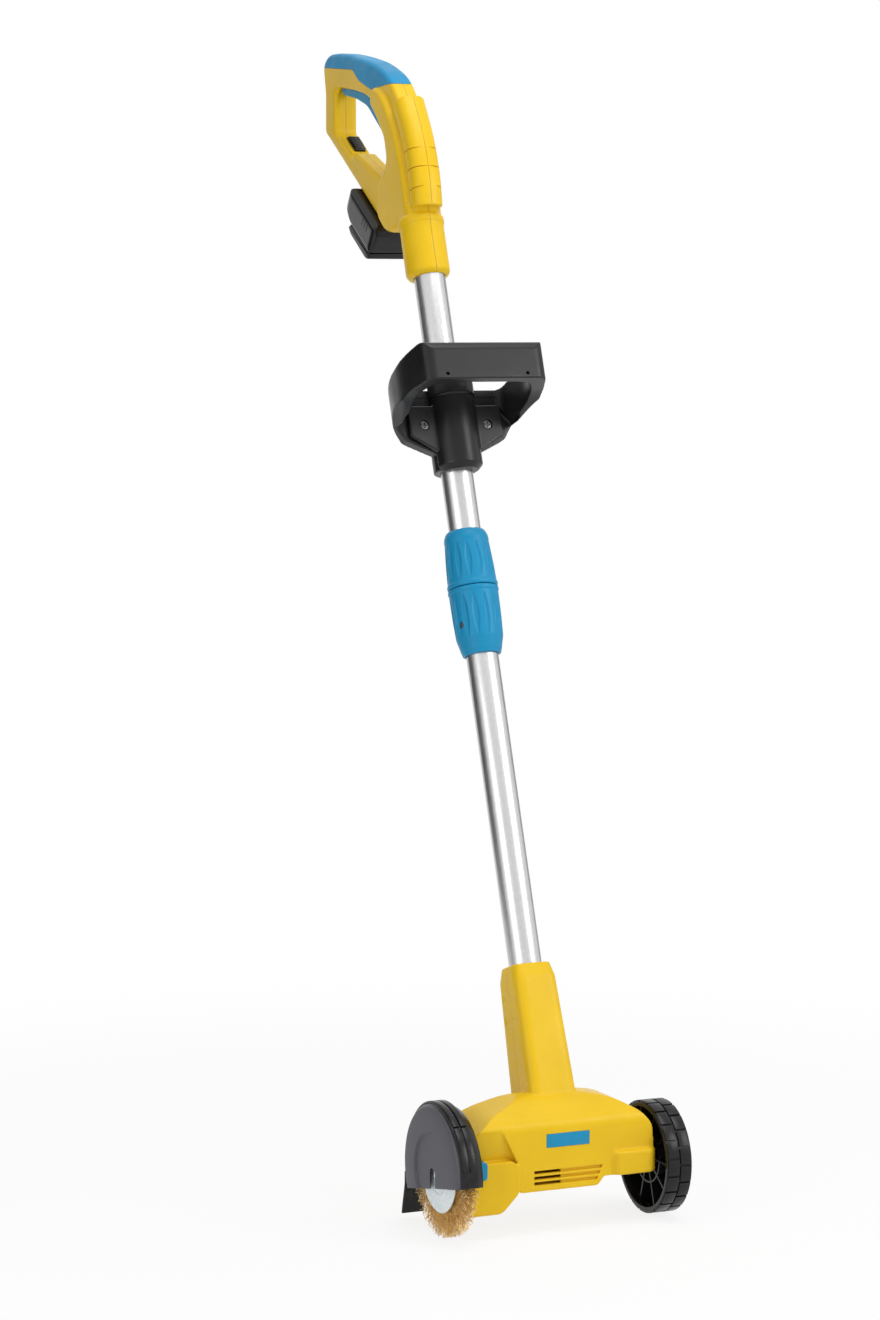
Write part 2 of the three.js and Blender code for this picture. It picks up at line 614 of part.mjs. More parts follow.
// Switch, board and dock inside
const switchReach = 0.12 * handleReach;
const switchLevel = handleFoot + 0.66 * handleRise;
const switchSize = 12;
const switchHalf = 6;
const switchSpace = (grow) => block(-switchHalf - grow, switchHalf + grow, switchReach - switchSize / 2 - grow,
  switchReach + switchSize / 2 + grow, switchLevel - switchSize / 2 - grow, switchLevel + switchSize / 2 + grow);
const boardThickness = 1.6;
const boardDepth = 14;
const boardFoot = handleFoot + 0.24 * handleRise;
const boardTop = handleFoot + 0.54 * handleRise;
const boardSpace = (grow) => block(-boardThickness / 2 - grow, boardThickness / 2 + grow, -boardDepth / 2 - grow,
  boardDepth / 2 + grow, boardFoot - grow, boardTop + grow);
addPiece('switch_block', switchSpace(0), pole, graphite, 0.5);
addPiece('control_board', boardSpace(0), pole, green, 0.5);
handleBody = handleBody.subtract(switchSpace(seatGap)).subtract(boardSpace(bladeSlack));

// Return spring: a bent strip between the trigger's back and the slot
const springWidth = 4;
const springShares = [
  [0.585, 0.8538], [0.678, 0.8465], [0.678, 0.8493], [0.585, 0.8566],
];
addPiece('trigger_spring', prismX(handleOutline(springShares), -springWidth / 2, springWidth / 2), pole, steel, 0.4, 1);

// Ribbed slide in its bezel
const slideRise = 6;
const slideTravel = 3;
const slideFoot = slideFromFoot - slideLength / 2;
const ribs = 6;
const ribDepth = 1;
const slideSpace = (grow, travel) => block(-slideWidth / 2 - grow, slideWidth / 2 + grow,
  -strutThickness - slideRise * 2, -strutThickness + slideRise + grow, slideFoot - grow, slideFoot + slideLength - travel + grow);
let slide = block(-slideWidth / 2, slideWidth / 2, -strutThickness - slideRise, -strutThickness + slideRise,
  slideFoot, slideFoot + slideLength - slideTravel);
for (let i = 1; i < ribs; i += 1) {
  const level = slideFoot + i * (slideLength - slideTravel) / ribs;
  slide = slide.subtract(block(-slideWidth, slideWidth, -strutThickness - slideRise - overrun,
    -strutThickness - slideRise + ribDepth, level - ribDepth / 2, level + ribDepth / 2));
}
addPiece('lock_slide', slide, strut, black, 0.5);
handleBody = handleBody.subtract(onStrut(slideSpace(seatGap, 0)));

// Dock: a dovetail rail under the strut that the battery slides on
const railFoot = 8;
const railTop = 58;
const railDepth = 3.4;
const railNeck = 5.5;
const railHead = 8;
const dockDepth = 7;
const dockHalf = 7.5;
const dockSpace = (grow) => block(-dockHalf - grow, dockHalf + grow, -dockDepth - grow, overrun, railFoot - grow, railTop + grow);
const rail = (grow, from, to) => prismZ([
  [-railNeck - grow, -grow], [-railHead - grow, railDepth + grow], [railHead + grow, railDepth + grow], [railNeck + grow, -grow],
], from, to);
const dock = block(-dockHalf, dockHalf, -dockDepth, 0, railFoot, railTop).add(rail(0, railFoot, railTop));
addPiece('battery_dock', dock, strut, black, 0.5);
handleBody = handleBody.subtract(onStrut(dockSpace(seatGap)));

// Tube socket
handleBody = handleBody.subtract(rodZ(tubeRadius + seatGap, handleFoot - overrun, upperTubeTop + seatGap, fine));

// Screws hold the halves together from the right
const screwPlaces = [[0.16, 0.262], [0.06, 0.5], [0.255, 0.33], [0.87, 0.74]];
const screwDepth = 9;
screwPlaces.forEach(([reachShare, riseShare], index) => {
  const half = index < 3 ? bodyHalfWidth : loopHalfWidth;
  const at = [0, reachShare * handleReach, handleFoot + riseShare * handleRise];
  const shank = (radius, from, to) => rodX(radius, from, to, 6).translate(at);
  const headSeat = half - screwDepth / 3;
  handleBody = handleBody.subtract(shank(handleScrewRadius + runningGap, -screwDepth / 2, headSeat + overrun))
    .subtract(shank(handleHeadRadius + runningGap, headSeat, half + overrun * 2));
  addPiece(`handle_screw_${index + 1}`, shank(handleScrewRadius, -screwDepth / 2 + seatGap, headSeat + seamGap)
    .add(shank(handleHeadRadius, headSeat + seatGap, half - seatGap)), pole, steel, 0.4, 1);
});

const farSide = handleReach * 2;
const rightOf = block(seatGap / 2, farSide, -farSide, farSide, handleFoot - farSide, handleFoot + farSide * 2);
const leftOf = block(-farSide, -seatGap / 2, -farSide, farSide, handleFoot - farSide, handleFoot + farSide * 2);
addPiece('handle_left_shell', handleBody.intersect(leftOf), pole, yellow, 0.42);
addPiece('handle_right_shell', handleBody.intersect(rightOf), pole, yellow, 0.42);

// BATTERY, in the strut's frame: Z along the strut, Y away from it
const batteryTop = 0.9;
const batteryFoot = 3;
const batteryEnd = batteryFoot + batteryLength;
const batterySide = [
  [batteryTop, batteryFoot + 4, 2], [batteryTop, batteryEnd - 6, 4], [batteryDepth / 2, batteryEnd, 8],
  [batteryDepth * 0.75, batteryEnd - 1, 5], [batteryDepth, batteryEnd - 8, 1], [batteryDepth, batteryFoot + 1, 1],
  [batteryDepth / 3, batteryFoot, 4],
];
const batteryChamfer = 5;
const cellRow = 15.7;
const cellFoot = batteryFoot + 5;
const cellTop = railDepth + seatGap * 2 + 1.2 + cellRadius;
const cellPlaces = [[0, cellTop], [-cellRadius - seatGap / 2, cellTop + cellRow], [cellRadius + seatGap / 2, cellTop + cellRow]];
const cellAt = ([x, depth], grow) => rodZ(cellRadius + grow, cellFoot - grow, cellFoot + cellLength + grow, coarse)
  .translate([x, depth, 0]);
const batteryPlan = [
  [-batteryHalfWidth, batteryTop, batteryChamfer], [-batteryHalfWidth, batteryDepth, 1],
  [batteryHalfWidth, batteryDepth, 1], [batteryHalfWidth, batteryTop, batteryChamfer],
];
const batteryFront = [
  [-batteryHalfWidth, batteryFoot, batteryChamfer], [batteryHalfWidth, batteryFoot, batteryChamfer],
  [batteryHalfWidth, batteryEnd, batteryChamfer], [-batteryHalfWidth, batteryEnd, batteryChamfer],
];
let batteryCase = prismX(batterySide, -batteryHalfWidth, batteryHalfWidth)
  .intersect(prismZ(batteryPlan, batteryFoot, batteryEnd))
  .intersect(prismY(batteryFront, batteryTop, batteryDepth));
batteryCase = batteryCase.subtract(rail(seatGap, batteryFoot - overrun, railTop + seatGap * 2));
const baseTop = batteryDepth + seatGap;
const baseEnd = batteryEnd - 13;
const baseChamfer = 1.5;
const baseHalfWidth = batteryHalfWidth - 1;
let batteryBase = prismX([
  [baseTop, batteryFoot + 1], [baseTop, baseEnd, 1], [baseTop + batteryBaseDepth, baseEnd - 2, 2],
  [baseTop + batteryBaseDepth, batteryFoot + 2, 2],
], -baseHalfWidth, baseHalfWidth, baseChamfer);
cellPlaces.forEach((place, index) => {
  batteryCase = batteryCase.subtract(cellAt(place, seatGap));
  batteryBase = batteryBase.subtract(cellAt(place, seatGap));
  addPiece(`battery_cell_${index + 1}`, cellAt(place, 0), strut, steel, 0.4, 0.6);
});
// Straight ways out of the bores let the cells be put in from the base
batteryCase = batteryCase
  .subtract(block(-cellRadius * 2 - seatGap, cellRadius * 2 + seatGap, cellTop + cellRow,
    batteryDepth + overrun, cellFoot - seatGap, cellFoot + cellLength + seatGap))
  .subtract(block(-cellRadius - seatGap, cellRadius + seatGap, cellTop, batteryDepth + overrun,
    cellFoot - seatGap, cellFoot + cellLength + seatGap));
const latchHalf = 8;
const latchFoot = batteryEnd - 7;
const latchDepth = 12;
const latchStroke = 2;
const latchSpace = (grow, sink) => block(-latchHalf - grow, latchHalf + grow, latchDepth / 2 - grow, latchDepth + grow,
  latchFoot + overrun / 2 - sink, batteryEnd + overrun);
batteryCase = batteryCase.subtract(latchSpace(seatGap, latchStroke));
const latch = block(-latchHalf, latchHalf, latchDepth / 2, latchDepth, latchFoot + overrun / 2 + seatGap, batteryEnd + 1);
addPiece('battery_latch', latch, strut, blue, 0.5);
addPiece('battery_case', batteryCase, strut, black, 0.25);
addPiece('battery_base', batteryBase, strut, black, 0.35);

// HOUSING
const poleWay = Math.tan(rad(poleLeanDeg));
const motorReach = (gearTeeth + pinionTeeth) * gearModule / 2;
const gearCaseRight = -50;
const scoopFoot = 60;
const scoopTop = 101;
const scoopDepth = 7;
const blockLeft = 48;
const blockProud = 5.5;
const blockFront = housingFront + blockProud;
const shoulderInset = 36;
const blockFloor = 45;
const blockTop = 67;
const frontOutline = [
  [gearCaseRight + 4, housingFloor, 2], [blockLeft - 18, housingFloor, 3], [blockLeft - 12, blockFloor, 2],
  [housingRight, blockFloor, 2], [housingRight - 3, housingCrease - 9, 6], [housingRight - 13, housingCrease + 3, 6],
  [housingRight - shoulderInset, housingTop - 6, 12], [20, housingTop, 10], [-37, housingTop - 0.5, 12], [-71, housingCrease + 8, 8],
  [housingLeft, housingCrease - 8, 3], [housingLeft, scoopFoot], [gearCaseRight + 4, scoopFoot],
];
const sideOutline = [
  [-housingFront, housingFloor, 2], [-housingFront, housingCrease, 3], [-8, housingTop - 1, 8], [14, housingTop + 1, 8],
  [31, housingCrease + 9, 10], [housingRear - 1, housingCrease - 10, 8], [housingRear, housingFloor + 8, 4],
  [housingRear - 8, housingFloor, 4],
];
const scoopFace = [
  [gearCaseRight + 4, scoopFoot - 1], [gearCaseRight - 16, housingCrease], [gearCaseRight - 22, scoopTop],
  [housingLeft - overrun, scoopTop], [housingLeft - overrun, scoopFoot - overrun], [gearCaseRight + 4, scoopFoot - overrun],
];
const scoopSide = [
  [-housingFront * 2, scoopFoot - overrun], [scoopDepth - housingFront, scoopFoot - overrun],
  [scoopDepth - housingFront, scoopFoot + 6, 4], [-housingFront + seatGap, housingCrease], [-housingFront * 2, housingCrease],
];
const gearCaseFace = [
  [housingLeft, gearCaseFloor, 1], [-65, gearCaseFloor, 4], [gearCaseRight, housingFloor + 2, 3],
  [gearCaseRight, 62, 3], [gearCaseRight - 4, 67], [housingLeft, 67],
];
const gearCaseSide = [
  [-housingFront - 1, 67.5], [-housingFront - 1, gearCaseFloor, 3.5], [housingFront + 1, gearCaseFloor, 3.5],
  [housingFront + 1, 67.5],
];
const axleBlock = [
  [blockLeft - blockProud, -housingFront + 1, 1], [blockLeft, -blockFront, 3], [housingRight - 5, -blockFront, 2], [housingRight, -housingFront, 1],
  [housingRight, housingRear - 4], [blockLeft - blockProud, housingRear - 4],
];
const neckSection = (width, depth) => [
  [-width / 2, -depth / 2, neckRound], [width / 2, -depth / 2, neckRound],
  [width / 2, depth / 2, neckRound], [-width / 2, depth / 2, neckRound],
];

// Neck: a tapered rounded box between two like sections, with a chamfered mouth
function tapered(lower, upper, from, to) {
  const foot = outline(lower).getPoints();
  const head = outline(upper).getPoints();
  const geometry = new THREE.ExtrudeGeometry(outline(lower), { depth: to - from, bevelEnabled: false, steps: 1 });
  const place = geometry.getAttribute('position');
  for (let i = 0; i < place.count; i += 1) {
    if (place.getZ(i) > (to - from) / 2) {
      const k = foot.findIndex((p) => Math.hypot(p.x - place.getX(i), p.y - place.getY(i)) < mergeStep);
      place.setXY(i, head[k].x, head[k].y);
    }
  }
  return solid(geometry.translate(0, 0, from));
}

const mouthFoot = neckTop - mouthHeight;
const mouthWidth = tubeDiameter + mouthLip * 2;
const neckTopSection = neckSection(neckTopWidth, neckTopDepth);
let neck = tapered(neckSection(neckFootWidth, neckFootDepth), neckTopSection, neckFoot, mouthFoot)
  .add(tapered(neckTopSection, neckSection(mouthWidth, mouthWidth), mouthFoot, neckTop));
// Two shallow finger notches on each side
const notchRadius = 9;
const notchDepth = 1.5;
const notchDrop = 27;
const notchPitch = 21;
[neckTop - notchDrop, neckTop - notchDrop - notchPitch].forEach((level) => {
  [-1, 1].forEach((side) => {
    neck = neck.subtract(rodY(notchRadius, -neckTopDepth / 3, neckTopDepth / 3, coarse)
      .translate([side * (neckTopWidth / 2 + notchRadius - notchDepth + 1), 0, level]));
  });
});

let housing = prismY(frontOutline, -housingFront * 2, housingRear * 2)
  .intersect(prismX(sideOutline, housingLeft * 2, housingRight * 2))
  .subtract(prismY(scoopFace, -housingFront * 2, housingRear).intersect(prismX(scoopSide, housingLeft * 2, housingRight)))
  .add(prismY(gearCaseFace, -housingFront * 2, housingRear * 2).intersect(prismX(gearCaseSide, housingLeft * 2, housingRight * 2)))
  .add(prismZ(axleBlock, blockFloor, blockTop))
  .add(leaned(neck));

// Vents: three slots with slanted ends, open at the left and shallow at the right
const ventPitch = 5;
const ventHeight = 3;
const ventFoot = 43;
const ventLeft = -33;
const ventOpen = -6;
const ventRight = 29;
const ventSlant = 2.2;
const ventShallow = 2.4;
for (let i = 0; i < 3; i += 1) {
  const level = ventFoot + i * ventPitch;
  const end = ventRight + i * ventSlant;
  housing = housing.subtract(prismY([
    [ventLeft, level], [end, level], [end + ventSlant / 2, level + ventHeight], [ventLeft, level + ventHeight],
  ], -housingFront - overrun, -housingFront + ventShallow));
  housing = housing.subtract(block(ventLeft, ventOpen, -housingFront - overrun, -housingFront + overrun * 2, level, level + ventHeight));
  housing = housing.subtract(block(ventLeft, ventOpen, housingRear - overrun * 2, housingRear + overrun, level, level + ventHeight));
}

// Label recess
const labelFoot = 76;
const labelSpace = (grow, depth) => block(-labelWidth / 2 - grow, labelWidth / 2 + grow, -housingFront - overrun,
  -housingFront + depth, labelFoot - grow, labelFoot + labelHeight + grow);
housing = housing.subtract(labelSpace(seatGap / 2, labelThickness));
addPiece('label_plate', block(-labelWidth / 2, labelWidth / 2, -housingFront - seatGap, -housingFront + labelThickness - seatGap,
  labelFoot, labelFoot + labelHeight), object, blue, 0.4);

// Hollows for the motor, the gears, the bearings and the air
const onSpindle = (body) => body.translate([0, 0, spindleHeight]);
const onMotor = (body) => body.translate([0, motorReach * Math.sin(rad(poleLeanDeg)),
  spindleHeight + motorReach * Math.cos(rad(poleLeanDeg))]);
const addendum = 0.8;
const dedendum = 1.15;
const gearRadius = gearTeeth * gearModule / 2;
const pinionRadius = pinionTeeth * gearModule / 2;
const gearSpace = 2.4;
housing = housing
  .subtract(onMotor(rodX(motorRadius + seatGap, motorX - seatGap, motorX + motorLength + overrun, medium)))
  .subtract(onSpindle(rodX(gearRadius + gearSpace, gearX - gearWidth / 2 - gearSpace / 2, gearX + gearWidth / 2 + gearSpace / 2, medium)))
  .subtract(onMotor(rodX(pinionRadius + gearSpace, gearX - gearWidth / 2 - gearSpace / 2, motorX + overrun, coarse)))
  .subtract(onSpindle(rodX(spindleRadius + bladeSlack, housingLeft - overrun, spindleEndX + bladeSlack, coarse)))
  .subtract(onSpindle(rodX(bearingRadius + seatGap, housingLeft - overrun, outerBearingX + bearingWidth / 2 + seatGap, coarse)))
  .subtract(onSpindle(rodX(bearingRadius + seatGap, innerBearingX - bearingWidth / 2 - seatGap, innerBearingX + bearingWidth / 2 + seatGap, coarse)))
  .subtract(block(gearCaseRight + 6, blockLeft - 22, -housingFront + overrun, housingRear - overrun, housingFloor + 5, motorReach * 2));
housing = housing.subtract(leaned(rodZ(tubeRadius + seatGap, lowerTubeFoot - seatGap, neckTop + overrun, fine)));

// Release button by the guard
const buttonLeft = -92;
const buttonRight = -79.5;
const buttonFoot = 53;
const buttonTop = 69;
const buttonDepth = 9;
const buttonProud = 2.2;
const buttonTravel = 3;
const buttonCorners = (grow) => [
  [buttonLeft - grow, buttonFoot - grow, 3], [buttonRight + grow, buttonFoot - grow, 3],
  [buttonRight + grow, buttonTop + grow, 3], [buttonLeft - grow, buttonTop + grow, 3],
];
const buttonFront = -housingFront - 1 - buttonProud;
housing = housing.subtract(prismY(buttonCorners(seatGap), -housingFront - overrun, -housingFront + buttonDepth - buttonProud + buttonTravel + 1));
const button = prismY(buttonCorners(0), buttonFront, buttonFront + buttonDepth, 1);
addPiece('release_button', button, object, blue, 0.45);
const leafX = (buttonLeft + buttonRight) / 2;
const leafZ = (buttonFoot + buttonTop) / 2;
const leafBack = -housingFront + buttonDepth - buttonProud + buttonTravel + 1;
addPiece('button_spring', prismX([
  [buttonFront + buttonDepth + buttonTravel + seatGap / 3, leafZ - 5], [leafBack - seatGap / 3, leafZ - 6],
  [leafBack - seatGap / 3, leafZ - 5.4], [leafBack - seatGap / 3, leafZ + 5.4],
  [buttonFront + buttonDepth + buttonTravel + seatGap / 3, leafZ + 5],
], leafX - 2, leafX + 2), object, steel, 0.4, 1);

// Axle bore and shell screws
const onAxle = (body) => body.translate([0, 0, wheelRadius]);
housing = housing.subtract(onAxle(rodX(axleRadius + seatGap, axleInnerX - seatGap, housingRight + overrun, coarse)));
const frontSide = leaned(block(housingLeft * 2, housingRight * 2, -neckTop, -seatGap / 2, -neckTop, neckTop * 2));
const rearSide = leaned(block(housingLeft * 2, housingRight * 2, seatGap / 2, neckTop, -neckTop, neckTop * 2));
const shellScrewPlaces = [[-46, 105], [44, 100], [-80, 27]];
const shellScrewTip = -14;
const upperHeadY = 28;
const lowerHeadY = 20;
shellScrewPlaces.forEach(([x, z], index) => {
  const rear = index === 2 ? lowerHeadY : upperHeadY;
  const shank = (radius, from, to) => rodY(radius, from, to, 6).translate([x, 0, z]);
  housing = housing.subtract(shank(handleScrewRadius + runningGap, shellScrewTip, rear + overrun))
    .subtract(shank(handleHeadRadius + runningGap, rear, housingRear + overrun));
  addPiece(`shell_screw_${index + 1}`, shank(handleScrewRadius, shellScrewTip + seatGap, rear + seamGap)
    .add(shank(handleHeadRadius, rear + seatGap, rear + 3)), object, steel, 0.4, 1);
});
addPiece('base_front_shell', housing.intersect(frontSide), object, yellow, 0.42);
addPiece('base_rear_shell', housing.intersect(rearSide), object, yellow, 0.42);

// DRIVE
function gearOutline(teeth, turnDeg, slim, tip) {
  const points = [];
  const radius = teeth * gearModule / 2;
  const half = 90 / teeth;
  const shares = [[-dedendum, 1.45], [tip, 0.5], [tip, -0.5], [-dedendum, -1.45]];
  for (let i = 0; i < teeth; i += 1) {
    shares.forEach(([riseShare, halfShare]) => {
      const angle = rad(turnDeg + i * 360 / teeth - halfShare * half * slim);
      points.push(new THREE.Vector2(Math.cos(angle), Math.sin(angle)).multiplyScalar(radius + riseShare * gearModule));
    });
  }
  return new THREE.Shape(points);
}
const toothSlim = 0.86;
const meshDeg = 90 - poleLeanDeg;
const gearGeometry = prismX(gearOutline(gearTeeth, meshDeg, toothSlim, addendum), gearX - gearWidth / 2, gearX + gearWidth / 2);
addPiece('drive_gear', onSpindle(gearGeometry.subtract(rodX(spindleRadius + seatGap, -farSide, farSide))), object, steel, 0.4, 1);
const pinionTurn = meshDeg + 180 + 180 / pinionTeeth;
const pinionGeometry = prismX(gearOutline(pinionTeeth, pinionTurn, toothSlim, addendum), gearX - gearWidth / 2, gearX + gearWidth / 2)
  .add(rodX(motorShaftRadius, gearX, motorX + overrun * 3, coarse));
addPiece('motor_pinion', onMotor(pinionGeometry), object, steel, 0.4, 1);
const motorShaftBore = motorShaftRadius + runningGap;
addPiece('motor_can', onMotor(rodX(motorRadius, motorX, motorX + motorLength, medium)
  .add(rodX(motorRadius / 3, motorX + motorLength - overrun, motorX + motorLength + overrun - 1, coarse))
  .subtract(rodX(motorShaftBore, motorX - overrun, motorX + overrun * 3 + seatGap, coarse))), object, steel, 0.35, 1);

const brushFront = brushX - brushThickness / 2;
const brushBack = brushX + brushThickness / 2;
const spindleTip = brushFront - brushDiscThickness * 2;
const flangeRadius = 11;
const spindle = onSpindle(rodX(spindleRadius, spindleTip + brushDiscThickness + seatGap, spindleEndX, coarse)
  .add(rodX(flangeRadius, brushBack + seatGap, brushBack + overrun, coarse)));
addPiece('spindle', spindle, object, steel, 0.3, 1);
[outerBearingX, innerBearingX].forEach((x, index) => {
  addPiece(`spindle_bearing_${index + 1}`, onSpindle(ringX(bearingRadius, spindleRadius + seatGap, x - bearingWidth / 2,
    x + bearingWidth / 2, coarse)), object, steel, 0.3, 1);
});
const rootThickness = 2.6;
addPiece('brush_core', onSpindle(ringX(bristleRootRadius - rootThickness - seatGap, spindleRadius + seatGap, brushFront, brushBack, fine)),
  object, steel, 0.4, 1);
const discOuter = brushFront - seatGap;
addPiece('brush_disc', onSpindle(ringX(brushDiscRadius, spindleRadius + seatGap, discOuter - brushDiscThickness, discOuter)),
  object, milk, 0.3);
const screwSeat = discOuter - brushDiscThickness - seatGap;
addPiece('spindle_screw', onSpindle(latheX([
  [0, screwSeat - 3], [flangeRadius / 2 - 1, screwSeat - 3], [flangeRadius / 2, screwSeat - 2], [flangeRadius / 2, screwSeat], [0, screwSeat],
], coarse)), object, steel, 0.35, 1);

// Bristles: straight wires that fan out from a ring, a quarter of the ring to each piece
const quarters = 4;
const wireSection = new THREE.Shape(new THREE.EllipseCurve(0, 0, bristleWidth / 2, bristleWidth / 2).getPoints(3).slice(0, -1));
for (let q = 0; q < quarters; q += 1) {
  const span = 360 / quarters;
  const arc = (radius, from, to) => {
    const points = [];
    const steps = 6;
    for (let i = 0; i <= steps; i += 1) {
      const angle = rad(from + (to - from) * i / steps);
      points.push([radius * Math.cos(angle), radius * Math.sin(angle)]);
    }
    return points;
  };
  const sliver = 0.4;
  const from = q * span + sliver;
  const to = (q + 1) * span - sliver;
  const slice = prismX([...arc(bristleRootRadius, from, to), ...arc(bristleRootRadius - rootThickness, to, from)], brushFront, brushBack);
  const wires = [];
  for (let row = 0; row < bristleRows; row += 1) {
    const rowShare = bristleRows > 1 ? row / (bristleRows - 1) - 0.5 : 0;
    for (let i = 0; i < bristlesPerQuarter; i += 1) {
      const odd = (row % 2) * 0.5;
      const angle = from + (i + 0.25 + odd) * (to - from) / bristlesPerQuarter;
      const wave = Math.sin(i * 2.4 + row * 1.7 + q);
      const tip = brushRadius - 0.8 * (1 + wave);
      const length = tip - bristleRootRadius + rootThickness / 2;
      const wire = new THREE.ExtrudeGeometry(wireSection, { depth: length, bevelEnabled: false, steps: 1 });
      wire.rotateX(-Math.PI / 2);
      wire.rotateZ(-rad(rowShare * bristleFanDeg));
      wire.translate(brushX + rowShare * bristleSpread, bristleRootRadius - rootThickness / 2, 0);
      wire.rotateX(rad(angle));
      wires.push(solid(wire));
    }
  }
  addPiece(`brush_bristles_${q + 1}`, onSpindle(wasm.Manifold.union([slice, ...wires])), object, brass, 0.5, 0.6);
}

// GUARD: a cover of revolution, cut off below a tilted plane
const guardInner = guardRadius - guardWall;
const guardBackX = housingLeft - seatGap;
const guardSides = 32;
const guardWaistX = -102.4;
const guardTaper = 4;
const guardShape = latheX([
  [0, guardFaceX - 1], [guardStepRadius, guardFaceX - 1], [guardStepRadius + 1, guardFaceX], [guardFaceRadius - 1, guardFaceX],
  [guardFaceRadius, guardFaceX + 1], [guardRadius, guardFaceX + 5], [guardRadius, guardWaistX],
  [guardRadius - guardTaper, guardBackX], [guardInner - guardTaper, guardBackX], [guardInner, guardWaistX],
  [guardInner, guardFaceX + 7], [guardFaceRadius - guardWall, guardFaceX + guardWall], [0, guardFaceX + guardWall],
], guardSides);
const bands = [[guardFaceX + 6, guardFaceX + 10], [guardFaceX + 11, guardFaceX + 16]].map(([bandFrom, bandTo]) => (
  ringX(guardRadius + 1, guardRadius - 1, bandFrom, bandTo, guardSides).intersect(prismX([
    [0, 0], [Math.cos(rad(72)) * farSide, Math.sin(rad(72)) * farSide], [0, farSide], [-farSide, farSide],
    [-farSide, Math.sin(rad(18)) * farSide],
  ], -farSide, farSide))));
const guardKeep = block(-farSide, farSide, -farSide, farSide, -guardDrop, farSide).rotate([-guardTiltDeg, 0, 0]);
const backPlate = ringX(guardRadius - guardTaper - 1, bearingRadius * 2.4, guardBackX - guardWall, guardBackX);
let guard = guardShape.add(wasm.Manifold.union(bands)).add(backPlate).intersect(guardKeep);
const slotCut = prismX([
  [-guardSlotWidth / 2, -farSide], [-guardSlotWidth / 2, 0, 0], [-guardSlotWidth / 3, guardSlotWidth / 3],
  [guardSlotWidth / 3, guardSlotWidth / 3], [guardSlotWidth / 2, 0], [guardSlotWidth / 2, -farSide],
], guardFaceX - overrun, guardFaceX + overrun);
guard = guard.subtract(slotCut);
// Flap: a rubber skirt behind the brush
const flapTop = 44;
const flapReach = guardRadius + 0.8;
const flapX = guardFaceX + 2;
const flapPad = 6;
const flapSeat = Math.sqrt(guardRadius ** 2 - (spindleHeight - flapTop) ** 2) + seatGap;
const flap = prismX([
  [flapReach + flapFlare, flapFoot], [flapReach + flapFlare + flapThickness, flapFoot],
  [flapReach + flapThickness, flapTop - flapPad * 2, 2], [flapReach + flapThickness, flapTop], [flapSeat, flapTop],
  [flapSeat, flapTop - flapPad], [flapReach, flapTop - flapPad * 2],
], flapX, flapX + flapWidth);
addPiece('brush_guard', onSpindle(guard), object, graphite, 0.45);
addPiece('splash_flap', flap, object, black, 0.7);

// WHEEL
const wheelOuterX = wheelX + wheelWidth;
const hubRadius = 10;
const rimInner = 45.5;
const webThickness = 3;
const drum = wheelRadius - treadDepth;
let wheel = latheX([
  [axleRadius + runningGap, wheelX + 2], [hubRadius, wheelX + 2], [hubRadius, wheelOuterX - 6 - webThickness],
  [rimInner, wheelOuterX - 4 - webThickness], [rimInner, wheelX], [drum, wheelX],
  [drum, wheelOuterX - 1], [drum - 1, wheelOuterX], [rimInner - 5, wheelOuterX - 4],
  [hubRadius + 4, wheelOuterX - 5], [hubRadius + 2, wheelOuterX - 1], [axleRadius + runningGap, wheelOuterX - 1],
], treadBlocks * 2);
const spokes = [];
for (let i = 0; i < wheelSpokes; i += 1) {
  spokes.push(block(wheelX + 5, wheelOuterX - 6, -0.9, 0.9, hubRadius - 2, rimInner + 1).rotate([i * 360 / wheelSpokes, 0, 0]));
}
spokes.push(ringX(24, 22.4, wheelX + 5, wheelOuterX - 6, medium));
const pitchDeg = 360 / treadBlocks;
const blockDeg = pitchDeg - 2.6;
const blockSteps = 1;
function treadBlock(centreDeg, from, to) {
  const outer = [];
  const inner = [];
  for (let i = 0; i <= blockSteps; i += 1) {
    const angle = rad(centreDeg - blockDeg / 2 + blockDeg * i / blockSteps);
    outer.push([wheelRadius * Math.cos(angle), wheelRadius * Math.sin(angle)]);
    inner.unshift([(drum - 1.2) * Math.cos(angle), (drum - 1.2) * Math.sin(angle)]);
  }
  return prismX([...outer, ...inner], from, to);
}
const treadParts = [];
for (let i = 0; i < treadBlocks; i += 1) {
  treadParts.push(treadBlock(-90 + i * pitchDeg, wheelX + 1.5, wheelX + wheelWidth / 2 - 0.6));
  treadParts.push(treadBlock(-90 + (i + 0.5) * pitchDeg, wheelX + wheelWidth / 2 + 0.6, wheelOuterX - 1.5));
}
wheel = wasm.Manifold.union([wheel, ...spokes, ...treadParts]);
addPiece('wheel', onAxle(wheel), object, black, 0.5);
addPiece('wheel_axle', onAxle(rodX(axleRadius, axleInnerX, wheelOuterX - 0.5, coarse)), object, steel, 0.3, 1);
addPiece('wheel_cap', onAxle(latheX([
  [0, wheelOuterX], [hubRadius, wheelOuterX], [hubRadius - 1, wheelOuterX + 2], [0, wheelOuterX + 3],
], medium)), object, black, 0.5);

// The origin sits at the middle of the foot of the whole object's box
object.updateMatrixWorld(true);
const bounds = new THREE.Box3().setFromObject(object, true);
const middle = bounds.getCenter(new THREE.Vector3());
object.position.set(-middle.x, -middle.y, -bounds.min.z);

export default object;
